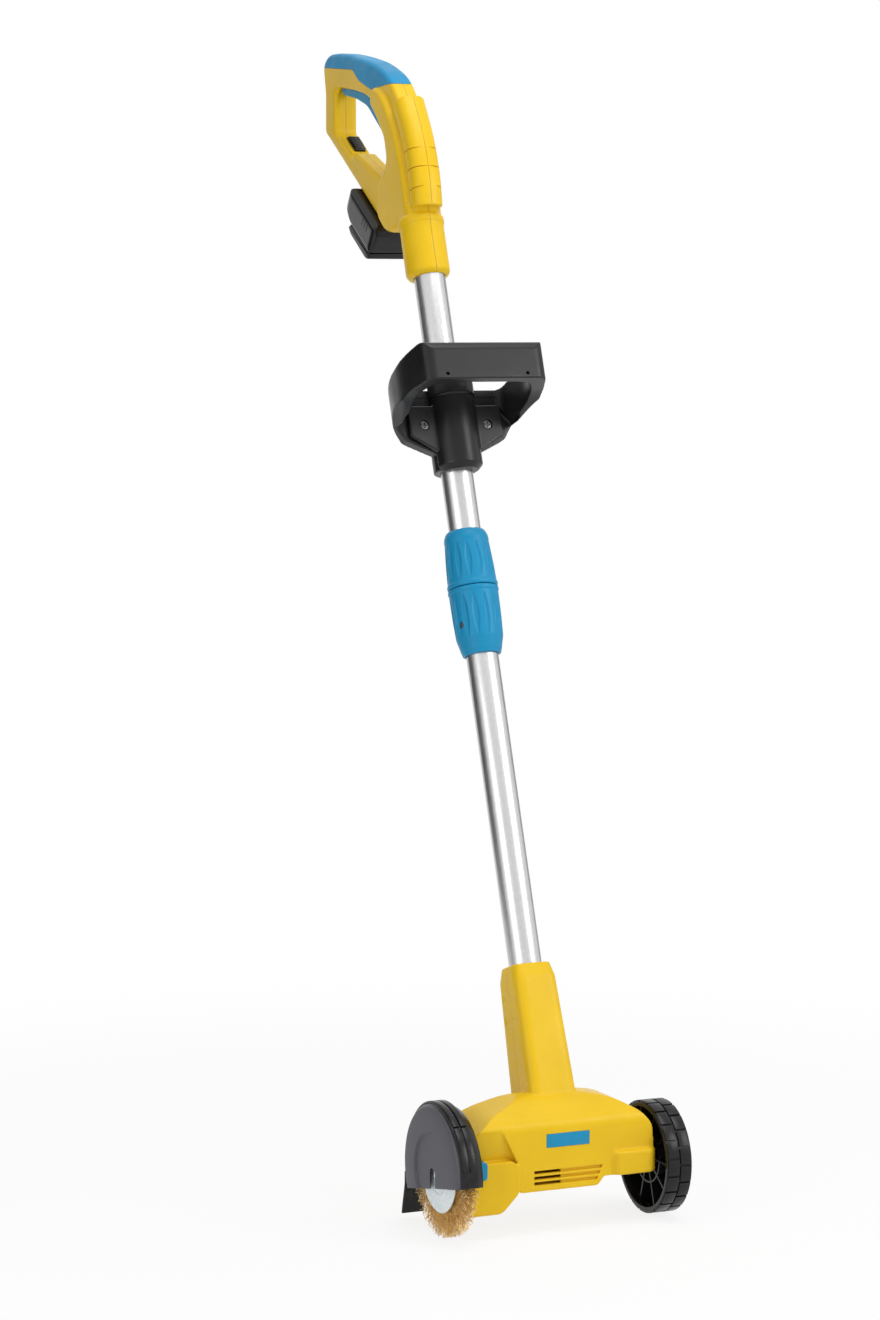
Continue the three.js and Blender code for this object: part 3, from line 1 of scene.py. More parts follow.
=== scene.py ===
# Looks of the cordless patio cleaner. Shapes are worked out in millimetres and placed in metres.
import json
import math
import bmesh
import bpy
import numpy as np
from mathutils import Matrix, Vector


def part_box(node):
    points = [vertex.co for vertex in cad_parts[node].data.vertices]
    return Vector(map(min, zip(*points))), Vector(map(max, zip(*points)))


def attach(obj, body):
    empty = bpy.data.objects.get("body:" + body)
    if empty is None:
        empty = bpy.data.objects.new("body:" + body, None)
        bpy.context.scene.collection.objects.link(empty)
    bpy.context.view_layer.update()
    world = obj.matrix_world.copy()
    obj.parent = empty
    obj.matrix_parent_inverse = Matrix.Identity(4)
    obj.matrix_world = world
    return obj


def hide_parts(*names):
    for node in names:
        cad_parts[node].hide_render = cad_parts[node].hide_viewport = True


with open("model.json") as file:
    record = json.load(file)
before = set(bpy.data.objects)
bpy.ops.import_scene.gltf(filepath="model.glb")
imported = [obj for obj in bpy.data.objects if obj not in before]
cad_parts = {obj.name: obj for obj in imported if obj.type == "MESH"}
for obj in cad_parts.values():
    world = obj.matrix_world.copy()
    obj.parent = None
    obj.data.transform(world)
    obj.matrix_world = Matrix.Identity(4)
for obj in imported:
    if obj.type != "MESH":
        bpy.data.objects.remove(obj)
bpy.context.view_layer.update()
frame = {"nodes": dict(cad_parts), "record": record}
nodes = frame["nodes"]
random = np.random.default_rng(11)

# Design sizes
LEAN = math.radians(19)
STRUT_TILT = math.radians(38)
POLE_RISE = 52.0
STRUT_REACH, STRUT_RISE = 60.0, 907.0
SPINDLE, AXLE = 56.5, 51.0
TUBE = 15.0
GAP = 0.35
axle_low, axle_high = (np.array(corner) * 1000 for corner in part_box("wheel_axle"))
axle_middle = (axle_low + axle_high) / 2
AXLE_FOOT = 62.0
SHIFT = np.array([axle_low[0] - AXLE_FOOT, axle_middle[1], axle_middle[2] - AXLE])


def turned(points, angle):
    """Points turned about X: y' = y cos a - z sin a, z' = y sin a + z cos a."""
    c, s = math.cos(angle), math.sin(angle)
    x, y, z = points.T
    return np.column_stack([x, y * c - z * s, y * s + z * c])


def placed(points, place):
    """Points of a piece's own frame, in mm, carried to the row frame, in metres."""
    points = np.asarray(points, float)
    if place == "strut":
        points = turned(points, -STRUT_TILT) + [0, STRUT_REACH, STRUT_RISE]
    if place in ("pole", "strut"):
        points = turned(points, -LEAN) + [0, 0, POLE_RISE]
    if place == "spindle":
        points = points + [0, 0, SPINDLE]
    if place == "axle":
        points = points + [0, 0, AXLE]
    return (points + SHIFT) / 1000


def shaped(name, points, faces, place="object", sharp=35):
    """A mesh object from points and faces, its faces turned outwards and smooth below the sharp angle."""
    mesh = bpy.data.meshes.new(name)
    mesh.from_pydata(placed(points, place).tolist(), [], [list(face) for face in faces])
    work = bmesh.new()
    work.from_mesh(mesh)
    bmesh.ops.remove_doubles(work, verts=work.verts, dist=1e-7)
    bmesh.ops.recalc_face_normals(work, faces=work.faces)
    work.to_mesh(mesh)
    work.free()
    obj = bpy.data.objects.new(name, mesh)
    bpy.context.scene.collection.objects.link(obj)
    soften(obj, sharp)
    return obj


def soften(obj, sharp=35):
    """Smooth faces, with edges kept hard where they bend more than the sharp angle."""
    mesh = obj.data
    mesh.polygons.foreach_set("use_smooth", np.ones(len(mesh.polygons), bool))
    mesh.set_sharp_from_angle(angle=math.radians(sharp))
    mesh.update()


def grid_faces(rows, columns, close_rows=False):
    """Quads between neighbouring rows of points; every row closes on itself."""
    i = np.arange(rows if close_rows else rows - 1)[:, None]
    j = np.arange(columns)[None, :]
    after, beside = (i + 1) % rows, (j + 1) % columns
    here, ahead = i * columns, after * columns
    quads = np.stack([here + j, here + beside, ahead + beside, ahead + j], -1)
    return quads.reshape(-1, 4).tolist()


def tube_faces(rows, columns):
    """The quads of a grid whose rows close on themselves, and one face over its first and its last row."""
    count = rows * columns
    return grid_faces(rows, columns) + [list(range(columns))[::-1], list(range(count - columns, count))]


def along_axis(a, b, level, axis):
    """Points from two coordinates across an axis and one along it."""
    order = {"x": (level, a, b), "y": (a, level, b), "z": (a, b, level)}[axis]
    return np.column_stack(order)


def eased(corners, steps=9):
    """Outline with each corner [a, b, ease] replaced by a quadratic curve that starts ease before it."""
    parts = []
    for index, corner in enumerate(corners):
        here = np.array(corner[:2], float)
        ease = corner[2] if len(corner) > 2 else 0
        if ease == 0:
            parts.append(here[None])
            continue
        back = np.array(corners[index - 1][:2], float) - here
        ahead = np.array(corners[(index + 1) % len(corners)][:2], float) - here
        reach = min(ease, np.linalg.norm(back) * 0.48, np.linalg.norm(ahead) * 0.48)
        start = here + back / np.linalg.norm(back) * reach
        end = here + ahead / np.linalg.norm(ahead) * reach
        t = np.linspace(0, 1, steps + 1)[:, None]
        parts.append((1 - t) ** 2 * start + 2 * t * (1 - t) * here + t ** 2 * end)
    return np.vstack(parts)


def rounded_box(low, high, ease, steps=9):
    """The outline of a rectangle between two corners, all four eased."""
    (left, foot), (right, top) = low, high
    return eased([[left, foot, ease], [right, foot, ease], [right, top, ease], [left, top, ease]], steps)


def inward(curve):
    """Unit normals of a closed outline, pointing to its inside."""
    along = np.roll(curve, -1, 0) - np.roll(curve, 1, 0)
    normal = np.column_stack([-along[:, 1], along[:, 0]])
    normal /= np.linalg.norm(normal, axis=1)[:, None] + 1e-12
    area = np.sum(curve[:, 0] * np.roll(curve[:, 1], -1) - np.roll(curve[:, 0], -1) * curve[:, 1])
    return normal if area > 0 else -normal


def lofted(name, curves, levels, axis="x", place="object", sharp=35):
    """Outlines of equal point number at their levels along an axis, joined by quads, closed at both ends."""
    flat = np.stack(curves)
    rows, count = flat.shape[:2]
    level = np.repeat(np.asarray(levels, float), count)
    points = along_axis(flat[:, :, 0].ravel(), flat[:, :, 1].ravel(), level, axis)
    return shaped(name, points, tube_faces(rows, count), place, sharp)


def slab(name, curve, low, high, edge=0.0, axis="x", place="object", sharp=35, segments=4):
    """An outline pushed from low to high along an axis; near both ends it draws in by a quarter circle
    of the edge's radius."""
    t = np.linspace(0, math.pi / 2, segments + 1) if edge > 0 else np.array([math.pi / 2])
    inset = edge * (1 - np.sin(t))
    rise = edge * (1 - np.cos(t))
    insets = np.concatenate([inset, inset[::-1]])
    levels = np.concatenate([low + rise, (high - rise)[::-1]])
    curves = curve[None] + inward(curve)[None] * insets[:, None, None]
    return lofted(name, curves, levels, axis, place, sharp)


def flared(name, curve, half, chamfer, place="object"):
    """A cutter for a hole with both rims chamfered: the outline keeps its size inside and grows evenly
    at both faces."""
    levels = [-half * 2, -half, chamfer - half, half - chamfer, half, half * 2]
    grown = [chamfer, chamfer, 0, 0, chamfer, chamfer]
    return lofted(name, [curve - inward(curve) * grow for grow in grown], levels, "x", place)


def turned_profile(name, profile, axis="z", place="object", sides=96, sharp=35, centre=(0, 0), swell=None):
    """A profile of (radius, level) turned about an axis: radius times cosine and sine of the angle. A swell
    function of angle, radius and level may change each radius."""
    profile = np.asarray(profile, float)
    closed = profile[0, 0] > 0
    angle = np.linspace(0, 2 * math.pi, sides, endpoint=False)
    radius = np.repeat(profile[:, 0:1], sides, 1)
    level = np.repeat(profile[:, 1:2], sides, 1)
    spin = np.repeat(angle[None], len(profile), 0)
    if swell is not None:
        radius = swell(spin, radius, level)
    a = (radius * np.cos(spin)).ravel() + centre[0]
    b = (radius * np.sin(spin)).ravel() + centre[1]
    points = along_axis(a, b, level.ravel(), axis)
    return shaped(name, points, grid_faces(len(profile), sides, closed), place, sharp)


def rounded_profile(profile, ease=0.8, steps=4):
    """The corners of a turned profile eased; points on the axis stay where they are."""
    return eased([[r, h, 0 if r < 1e-9 else ease] for r, h in profile], steps)


def box(name, low, high, place="object"):
    """A plain box between two corners, used only to cut."""
    return slab(name, rounded_box(low[1:], high[1:], 0), low[0], high[0], 0, "x", place)


def rod(name, radius, low, high, axis, centre=(0, 0), place="object", sides=40, edge=0.0):
    """A round rod along an axis through a centre: radius times cosine and sine of the angle."""
    angle = np.linspace(0, 2 * math.pi, sides, endpoint=False)
    curve = radius * np.column_stack([np.cos(angle), np.sin(angle)]) + centre
    return slab(name, curve, low, high, edge, axis, place)


def settle(obj):
    """Modifiers worked into the mesh."""
    shape = obj.evaluated_get(bpy.context.evaluated_depsgraph_get())
    mesh = bpy.data.meshes.new_from_object(shape)
    obj.modifiers.clear()
    old = obj.data
    obj.data = mesh
    bpy.data.meshes.remove(old)


def combined(obj, other, how, keep=False):
    """One solid added to, taken from or met with another."""
    step = obj.modifiers.new("Combine", "BOOLEAN")
    step.operation = how
    step.object = other
    step.solver = "MANIFOLD"
    settle(obj)
    if not keep:
        dropped(other)
    return obj


def add(obj, *others):
    """The first solid with each of the others added in turn."""
    for other in others:
        combined(obj, other, "UNION")
    return obj


def cut(obj, *others):
    """The first solid less each of the others."""
    for other in others:
        combined(obj, other, "DIFFERENCE")
    return obj


def meet(obj, *others):
    """What the first solid has in common with all the others."""
    for other in others:
        combined(obj, other, "INTERSECT")
    return obj


def dropped(obj):
    """An object and its mesh taken out of the file."""
    mesh = obj.data
    bpy.data.objects.remove(obj)
    bpy.data.meshes.remove(mesh)


def copy_of(obj, name):
    """A second object with its own mesh."""
    twin = bpy.data.objects.new(name, obj.data.copy())
    bpy.context.scene.collection.objects.link(twin)
    return twin


def gathered(name, pieces):
    """Solids that don't touch each other put into one mesh."""
    work = bmesh.new()
    for piece in pieces:
        work.from_mesh(piece.data)
        dropped(piece)
    mesh = bpy.data.meshes.new(name)
    work.to_mesh(mesh)
    work.free()
    obj = bpy.data.objects.new(name, mesh)
    bpy.context.scene.collection.objects.link(obj)
    return obj


def melted(obj, grain, rounds):
    """The solid rebuilt from even cells, grain mm wide, and relaxed, so that edges become small fillets."""
    remesh = obj.modifiers.new("Cells", "REMESH")
    remesh.mode = "VOXEL"
    remesh.voxel_size = grain / 1000
    relax = obj.modifiers.new("Relax", "SMOOTH")
    relax.factor = 0.5
    relax.iterations = rounds
    settle(obj)
    return obj


def finished(obj, name, body, finish, replaced=(), sharp=35):
    """Name, rounding of the shading, finish, body and the nodes that the piece stands for."""
    obj.name = name
    obj.data.name = name
    soften(obj, sharp)
    obj.data.materials.clear()
    obj.data.materials.append(finish)
    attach(obj, body)
    if replaced:
        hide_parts(*replaced)
    return obj


# FINISHES
class Finish:
    """A node material that is built up step by step on the piece's own coordinates."""

    def __init__(self, name, roughness=0.4, metallic=0.0, specular=0.5, turn=0.0, stretch=(1, 1, 1)):
        self.material = bpy.data.materials.new(name)
        self.material.use_nodes = True
        self.nodes = self.material.node_tree.nodes
        self.links = self.material.node_tree.links
        self.shader = self.nodes["Principled BSDF"]
        self.shader.inputs["Roughness"].default_value = roughness
        self.shader.inputs["Metallic"].default_value = metallic
        self.shader.inputs["Specular IOR Level"].default_value = specular
        where = self.nodes.new("ShaderNodeTexCoord")
        mapping = self.nodes.new("ShaderNodeMapping")
        mapping.inputs["Rotation"].default_value = (turn, 0, 0)
        mapping.inputs["Scale"].default_value = stretch
        self.links.new(where.outputs["Object"], mapping.inputs["Vector"])
        self.straight = where.outputs["Object"]
        self.where = mapping.outputs["Vector"]
        self.height = None

    def noise(self, scale, detail, stretched=False):
        """Even noise, or noise drawn out along the piece."""
        node = self.nodes.new("ShaderNodeTexNoise")
        node.inputs["Scale"].default_value = scale
        node.inputs["Detail"].default_value = detail
        node.inputs["Roughness"].default_value = 0.5
        self.links.new(self.where if stretched else self.straight, node.inputs["Vector"])
        return node.outputs["Fac"]

    def spread(self, value, low, high, start=0.3, stop=0.7):
        """A value between start and stop carried to the range from low to high."""
        node = self.nodes.new("ShaderNodeMapRange")
        node.inputs["From Min"].default_value = start
        node.inputs["From Max"].default_value = stop
        node.inputs["To Min"].default_value = low
        node.inputs["To Max"].default_value = high
        self.links.new(value, node.inputs["Value"])
        return node.outputs["Result"]

    def mixed(self, factor, first, second):
        """Two colours, each a value or a socket, mixed by a factor."""
        node = self.nodes.new("ShaderNodeMix")
        node.data_type = "RGBA"
        self.links.new(factor, node.inputs["Factor"])
        for socket, value in ((6, first), (7, second)):
            if isinstance(value, bpy.types.NodeSocket):
                self.links.new(value, node.inputs[socket])
            else:
                node.inputs[socket].default_value = (*value, 1)
        return node.outputs[2]

    def edges(self, start=0.52, stop=0.6):
        """How far a surface stands out as an edge, from the bend of its own mesh."""
        node = self.nodes.new("ShaderNodeNewGeometry")
        return self.spread(node.outputs["Pointiness"], 0, 1, start, stop)

    def colour(self, value):
        """The colour of the surface."""
        self.links.new(value, self.shader.inputs["Base Color"])

    def rough(self, value):
        """How dull the surface is."""
        self.links.new(value, self.shader.inputs["Roughness"])

    def bump(self, value, depth_mm, strength):
        """A height added to those that the surface already has."""
        node = self.nodes.new("ShaderNodeBump")
        node.inputs["Strength"].default_value = strength
        node.inputs["Distance"].default_value = depth_mm / 1000
        self.links.new(value, node.inputs["Height"])
        if self.height is not None:
            self.links.new(self.height, node.inputs["Normal"])
        self.height = node.outputs["Normal"]
        self.links.new(self.height, self.shader.inputs["Normal"])


def shade(colour, by):
    """A colour made darker or paler."""
    return tuple(min(1.0, max(0.0, c * by)) for c in colour)


def moulded(name, colour, roughness, grain, depth, specular=0.24, wear=0.12):
    """Moulded plastic: slow colour drift, fine grain in the surface, uneven gloss and paler rubbed edges."""
    made = Finish(name, roughness, 0.0, specular)
    drift = made.mixed(made.spread(made.noise(18, 4), 0, 1), shade(colour, 0.95), shade(colour, 1.04))
    specks = made.spread(made.noise(900, 2), 0, 0.16, 0.62, 0.8)
    dusty = made.mixed(specks, drift, shade(colour, 0.86))
    rubbed = made.nodes.new("ShaderNodeMath")
    rubbed.operation = "MULTIPLY"
    rubbed.inputs[1].default_value = wear
    made.links.new(made.edges(), rubbed.inputs[0])
    pale = tuple(c * 0.7 + 0.3 * 0.9 for c in colour)
    made.colour(made.mixed(rubbed.outputs[0], dusty, pale))
    made.rough(made.spread(made.noise(45, 5), roughness - 0.05, roughness + 0.07))
    made.bump(made.noise(1000 / grain, 2), depth, 0.55)
    made.bump(made.noise(60, 2), 0.05, 0.25)
    return made.material


def two_toned(name, face, rim, step):
    """Moulded plastic, dull and greyer on the face beyond the step in X, darker and glossier on the rim."""
    made = Finish(name, 0.4, 0.0, 0.26)
    split = made.nodes.new("ShaderNodeSeparateXYZ")
    made.links.new(made.straight, split.inputs["Vector"])
    on_rim = made.spread(split.outputs["X"], 0, 1, step - 0.0003, step + 0.0003)
    base = made.mixed(on_rim, face, rim)
    made.colour(made.mixed(made.spread(made.noise(140, 4), 0, 0.12, 0.45, 0.8), base, shade(face, 1.2)))
    made.rough(made.spread(on_rim, 0.46, 0.26, 0, 1))
    made.bump(made.noise(1800, 2), 0.012, 0.5)
    made.bump(made.noise(60, 2), 0.04, 0.2)
    return made.material


def drawn_metal(name, colour, roughness, turn=0.0, stretch=(900, 900, 14)):
    """Bright metal with fine lines along the piece, faint stains and a slow change of gloss."""
    made = Finish(name, roughness, 1.0, 0.5, turn, stretch)
    streak = made.noise(1.0, 3, stretched=True)
    stain = made.noise(24, 4)
    base = made.mixed(made.spread(streak, 0, 1), shade(colour, 0.93), shade(colour, 1.05))
    made.colour(made.mixed(made.spread(stain, 0, 0.3, 0.55, 0.8), base, shade(colour, 0.82)))
    made.rough(made.spread(streak, roughness - 0.02, roughness + 0.04))
    made.bump(streak, 0.003, 0.3)
    return made.material


def wire_metal(name):
    """Crimped brass wire: gold to brown from wire to wire, with dull spots."""
    made = Finish(name, 0.38, 0.6, 0.5)
    wire = made.spread(made.noise(420, 2), 0, 1, 0.35, 0.65)
    spots = made.spread(made.noise(70, 3), 0, 0.45, 0.5, 0.75)
    made.colour(made.mixed(spots, made.mixed(wire, BRASS_DARK, BRASS_PALE), BRASS_DULL))
    made.rough(made.spread(made.noise(900, 2), 0.3, 0.5))
    made.bump(made.noise(3000, 2), 0.02, 0.5)
    return made.material


def milky(name):
    """Milky see-through plastic with faint clouds and fine scratches."""
    made = Finish(name, 0.28, 0.0, 0.5)
    made.colour(made.mixed(made.spread(made.noise(30, 2), 0, 1), (0.84, 0.93, 0.96), (0.89, 0.96, 0.98)))
    made.rough(made.spread(made.noise(120, 2), 0.24, 0.32))
    made.bump(made.noise(1500, 2), 0.01, 0.4)
    made.shader.inputs["Transmission Weight"].default_value = 0.06
    made.shader.inputs["Subsurface Weight"].default_value = 0.08
    made.shader.inputs["Subsurface Scale"].default_value = 0.004
    return made.material


def rubber(name, colour, roughness, grain=0.35):
    """Soft moulded rubber: dull, finely pitted, a little dusty."""
    made = Finish(name, roughness, 0.0, 0.22)
    base = made.mixed(made.spread(made.noise(30, 4), 0, 1), shade(colour, 0.92), shade(colour, 1.06))
    pale = tuple(c * 0.85 + 0.05 for c in colour)
    made.colour(made.mixed(made.spread(made.noise(140, 4), 0, 0.5, 0.5, 0.8), base, pale))
    made.rough(made.spread(made.noise(80, 3), roughness - 0.06, roughness + 0.1))
    made.bump(made.noise(1000 / grain, 3), 0.03, 0.6)
    return made.material


YELLOW = (0.82, 0.525, 0.012)
BLUE = (0.010, 0.27, 0.50)
BLACK = (0.009, 0.009, 0.010)
GRAPHITE = (0.085, 0.085, 0.098)
BRASS_DARK, BRASS_PALE, BRASS_DULL = (0.74, 0.49, 0.19), (1.0, 0.80, 0.42), (0.52, 0.32, 0.12)
FACE_STEP = -117.8
yellow = moulded("yellow_moulding", YELLOW, 0.32, grain=0.45, depth=0.010, specular=0.2)
blue = moulded("blue_moulding", BLUE, 0.38, grain=0.45, depth=0.012)
soft_blue = rubber("blue_soft_touch", (0.014, 0.27, 0.52), 0.42, 0.6)
black = moulded("black_moulding", BLACK, 0.3, grain=0.4, depth=0.004, specular=0.32, wear=0.02)
gloss_black = moulded("black_gloss_moulding", (0.010, 0.010, 0.011), 0.16, grain=0.9, depth=0.003,
                      specular=0.32, wear=0.015)
cover_black = two_toned("cover_moulding", GRAPHITE, BLACK, (SHIFT[0] + FACE_STEP) / 1000)
tyre_black = moulded("wheel_moulding", BLACK, 0.26, grain=0.5, depth=0.010, wear=0.03)
flap_black = rubber("flap_rubber", (0.014, 0.014, 0.015), 0.5)
satin = drawn_metal("satin_tube", (0.60, 0.60, 0.605), 0.3, LEAN)
bright_steel = drawn_metal("bright_steel", (0.6, 0.6, 0.61), 0.25, stretch=(300, 60, 60))
dark_steel = drawn_metal("plain_steel", (0.30, 0.30, 0.31), 0.35, stretch=(200, 200, 200))
black_steel = drawn_metal("blackened_steel", (0.10, 0.10, 0.105), 0.3, stretch=(200, 200, 200))
brass = wire_metal("brass_wire")
milk = milky("milky_disc")
board_green = moulded("lacquered_board", (0.03, 0.2, 0.08), 0.3, grain=1.2, depth=0.02)

SLOT_FINISH = {
    "yellow_plastic": yellow, "blue_plastic": blue, "soft_blue": soft_blue, "black_plastic": black,
    "wheel_black": tyre_black, "black_rubber": flap_black, "satin_aluminium": satin, "brass_wire": brass,
    "milky_plastic": milk, "board_green": board_green, "plain_steel": dark_steel,
}
for subpart in frame["record"]["subparts"]:
    cad_node = nodes[subpart["node"]]
    cad_node.data.materials.clear()
    cad_node.data.materials.append(SLOT_FINISH[subpart["material_slot"]])

# BRUSH HOUSING
HOUSING_LEFT, HOUSING_RIGHT = -94.6, 87.0
FRONT, REAR = 30.0, 40.0
FLOOR, CREASE, TOP = 37.0, 97.0, 118.5
CASE_RIGHT, CASE_FLOOR, CASE_TOP, CASE_HALF = -50.0, 20.0, 67.0, 31.0
SCOOP_FOOT, SCOOP_TOP, SCOOP_DEPTH = 56.0, 101.0, 7.0
BLOCK_LEFT, BLOCK_FRONT, BLOCK_REAR, BLOCK_FLOOR = 42.5, 35.5, 36.0, 45.0
# Level, width, depth and ease of the corners of each section of the neck
NECK_SECTIONS = (
    (50.0, 46.3, 51.4, 9), (167.5, 41, 43, 9), (169.5, 40.2, 42.2, 9), (179.5, 36.6, 37, 9),
    (180.5, 36, 36, 10))
NOTCH_LEVELS, NOTCH_REACH, NOTCH_HALF = (153.5, 132.5), 28.8, 14.3
VENT_LEFT, VENT_RIGHT, VENT_LEAN = -33.0, 29.0, 2.2
VENT_FOOT, VENT_HEIGHT, VENT_PITCH, VENT_ROWS = 43.0, 3.0, 5.0, 3
OPEN_VENT_RIGHT, VENT_DEPTH = -6.0, 8.0
LABEL_HALF, LABEL_FOOT, LABEL_TOP, LABEL_MARGIN = 21.0, 76.0, 88.0, 0.2
BUTTON_LOW, BUTTON_HIGH = (-92.0, 53.0), (-79.5, 69.0)
# Place in X and Z of each shell screw, and the depth at which its head sits
SHELL_SCREWS = ((-46, 105, 28), (44, 100, 28), (-80, 27, 20))
# Stretches that run past both sides of the head, and past its front and rear
ACROSS, ALONG = (-190, 174), (-60, 80)
# How far a cutter runs past the face that it opens
OVERRUN = 4.0


def neck_solid():
    """A rounded box section that narrows evenly from foot to head and draws in to a round mouth."""
    curves = []
    for level, width, depth, ease in NECK_SECTIONS:
        curves.append(rounded_box([-width / 2, -depth / 2], [width / 2, depth / 2], ease, 8))
    return lofted("neck", curves, [section[0] for section in NECK_SECTIONS], "z", "pole")


def scoop_solid():
    """What the scoop over the gear case takes away: its front outline met with its side outline."""
    face = np.array([[-46, SCOOP_FOOT + 3], [-66, CREASE], [-72, SCOOP_TOP], [-99, SCOOP_TOP],
                     [-99, SCOOP_FOOT], [-46, SCOOP_FOOT]])
    wall = SCOOP_DEPTH - FRONT
    side = eased([[ALONG[0], SCOOP_FOOT], [wall, SCOOP_FOOT], [wall, SCOOP_FOOT + 10, 4],
                  [GAP - FRONT, CREASE], [ALONG[0], CREASE]])
    return meet(slab("scoop", face, ALONG[0], REAR, 0, "y"),
                slab("scoop_side", side, ACROSS[0], HOUSING_RIGHT, 0, "x"))


def gear_case_solid():
    """The gear case: its front outline met with its side outline."""
    edge = CASE_RIGHT + 2.6
    face = eased([[HOUSING_LEFT, CASE_FLOOR, 1.5], [CASE_RIGHT - 15, CASE_FLOOR, 5], [edge, FLOOR + 1, 4],
                  [edge, CASE_TOP - 5, 3], [CASE_RIGHT - 4, CASE_TOP, 1], [HOUSING_LEFT, CASE_TOP]])
    side = eased([[-CASE_HALF, CASE_TOP + 0.5, 0.5], [-CASE_HALF, CASE_FLOOR, 4.5],
                  [CASE_HALF, CASE_FLOOR, 4.5], [CASE_HALF, CASE_TOP + 0.5, 0.5]])
    return meet(slab("case", face, *ALONG, 0, "y"), slab("case_side", side, *ACROSS, 0, "x"))


def housing_solid():
    """The housing: its front outline met with its side outline, less the scoop, plus case, block and neck."""
    inner_edge = CASE_RIGHT + 4
    front = eased([
        [inner_edge, FLOOR, 2], [30, FLOOR, 3], [36, BLOCK_FLOOR, 2], [HOUSING_RIGHT, BLOCK_FLOOR, 2],
        [HOUSING_RIGHT - 3, CREASE - 9, 6], [HOUSING_RIGHT - 13, CREASE + 3, 6],
        [HOUSING_RIGHT - 36, TOP - 6, 12], [20, TOP, 10], [-37, TOP - 0.5, 12], [-71, CREASE + 8, 8],
        [HOUSING_LEFT, CREASE - 8, 3], [HOUSING_LEFT, CASE_TOP - 7], [inner_edge, CASE_TOP - 7]])
    side = eased([
        [-FRONT, FLOOR, 2], [-FRONT, CREASE, 7], [-8, TOP - 1, 10], [14, TOP + 1, 10], [31, CREASE + 9, 12],
        [REAR - 1, CREASE - 10, 10], [REAR, FLOOR + 8, 5], [REAR - 8, FLOOR, 5]])
    shell = meet(slab("housing", front, *ALONG, 0, "y"), slab("side", side, *ACROSS, 0, "x"))
    cut(shell, scoop_solid())
    axle_block = eased([
        [BLOCK_LEFT, 1 - FRONT, 2], [BLOCK_LEFT + 5.5, -BLOCK_FRONT, 4],
        [HOUSING_RIGHT - 5, -BLOCK_FRONT, 3], [HOUSING_RIGHT, -FRONT, 1.5], [HOUSING_RIGHT, BLOCK_REAR],
        [BLOCK_LEFT, BLOCK_REAR]])
    add(shell, gear_case_solid(), slab("axle_block", axle_block, BLOCK_FLOOR, CASE_TOP, 3.0, "z"))
    neck = neck_solid()
    for level in NOTCH_LEVELS:
        for side_sign in (-1, 1):
            place = (side_sign * NOTCH_REACH, level)
            cut(neck, rod("notch", 9, -NOTCH_HALF, NOTCH_HALF, "y", place, "pole", 48, 1.5))
    return add(shell, neck)


housing = melted(housing_solid(), 0.9, 5)
for row in range(VENT_ROWS):
    foot = VENT_FOOT + row * VENT_PITCH
    top = foot + VENT_HEIGHT
    end = VENT_RIGHT + row * VENT_LEAN
    slot_curve = eased([[VENT_LEFT, foot, 0.4], [end, foot, 0.4], [end + VENT_LEAN / 2, top, 0.4],
                        [VENT_LEFT, top, 0.4]], 3)
    cut(housing, slab("vent", slot_curve, -FRONT - OVERRUN, -FRONT + 2.4, 0, "y"))
    for low, high in ((-FRONT - OVERRUN, VENT_DEPTH - FRONT), (REAR - VENT_DEPTH, REAR + OVERRUN)):
        cut(housing, box("open_vent", [VENT_LEFT, low, foot], [OPEN_VENT_RIGHT, high, top]))
cut(housing, box("air", [-44, -FRONT + 4, 42], [26, REAR - 4, 54]))
label_seat = rounded_box([-LABEL_HALF - LABEL_MARGIN, LABEL_FOOT - LABEL_MARGIN],
                         [LABEL_HALF + LABEL_MARGIN, LABEL_TOP + LABEL_MARGIN], 0.8, 4)
cut(housing, slab("label_seat", label_seat, -FRONT - OVERRUN, -FRONT + 0.8, 0, "y"))
button_curve = rounded_box(BUTTON_LOW, BUTTON_HIGH, 3.4, 8)
button_seat = button_curve - inward(button_curve) * GAP
cut(housing, slab("button_seat", button_seat, -FRONT - 6, -FRONT + 10, 0, "y"))
cut(housing, rod("spindle_way", 8.4, HOUSING_LEFT - OVERRUN, -84, "x", (0, SPINDLE)))
cut(housing, rod("axle_way", 5.4, 61, HOUSING_RIGHT + OVERRUN, "x", (0, AXLE)))
cut(housing, rod("pole_way", TUBE + GAP, 71, 190, "z", (0, 0), "pole", 96))
rear_shell = copy_of(housing, "rear")
meet(housing, box("front_half", [-190, -200, -200], [180, -GAP / 2, 400], "pole"))
meet(rear_shell, box("rear_half", [-190, GAP / 2, -200], [180, 200, 400], "pole"))
for x, z, seat in SHELL_SCREWS:
    cut(rear_shell, rod("screw_way", 3.5, seat, REAR + OVERRUN, "y", (x, z), sides=32))
finished(housing, "housing_front", "base", yellow, ["base_front_shell"])
finished(rear_shell, "housing_rear", "base", yellow, ["base_rear_shell"])

label_curve = rounded_box([-LABEL_HALF, LABEL_FOOT], [LABEL_HALF, LABEL_TOP], 0.7, 4)
label = slab("label", label_curve, -FRONT - 0.35, -FRONT + 0.45, 0.15, "y")
finished(label, "bare_label", "base", blue, ["label_plate"])
button = slab("button", button_curve, -FRONT - 3.2, -FRONT + 5.8, 0.9, "y", segments=5)
finished(button, "guard_button", "button", blue, ["release_button"])

# GUARD AND FLAP, levels counted along the spindle
GUARD = 61.0
GUARD_FACE, GUARD_BACK = -119.9, -94.95
BAND_LEVELS = ((-115.4, -109.4), (-108.4, -102.6))
# Height over the rim, first and last angle of the upper and of the lower stretch of each band
BAND_STRETCHES = ((1.9, 51.5, 174), (1.05, 12, 50))
LOWER_EDGE, LOWER_EDGE_TILT = -14.0, math.radians(-11.7)
SLOT_HALF = 5.5


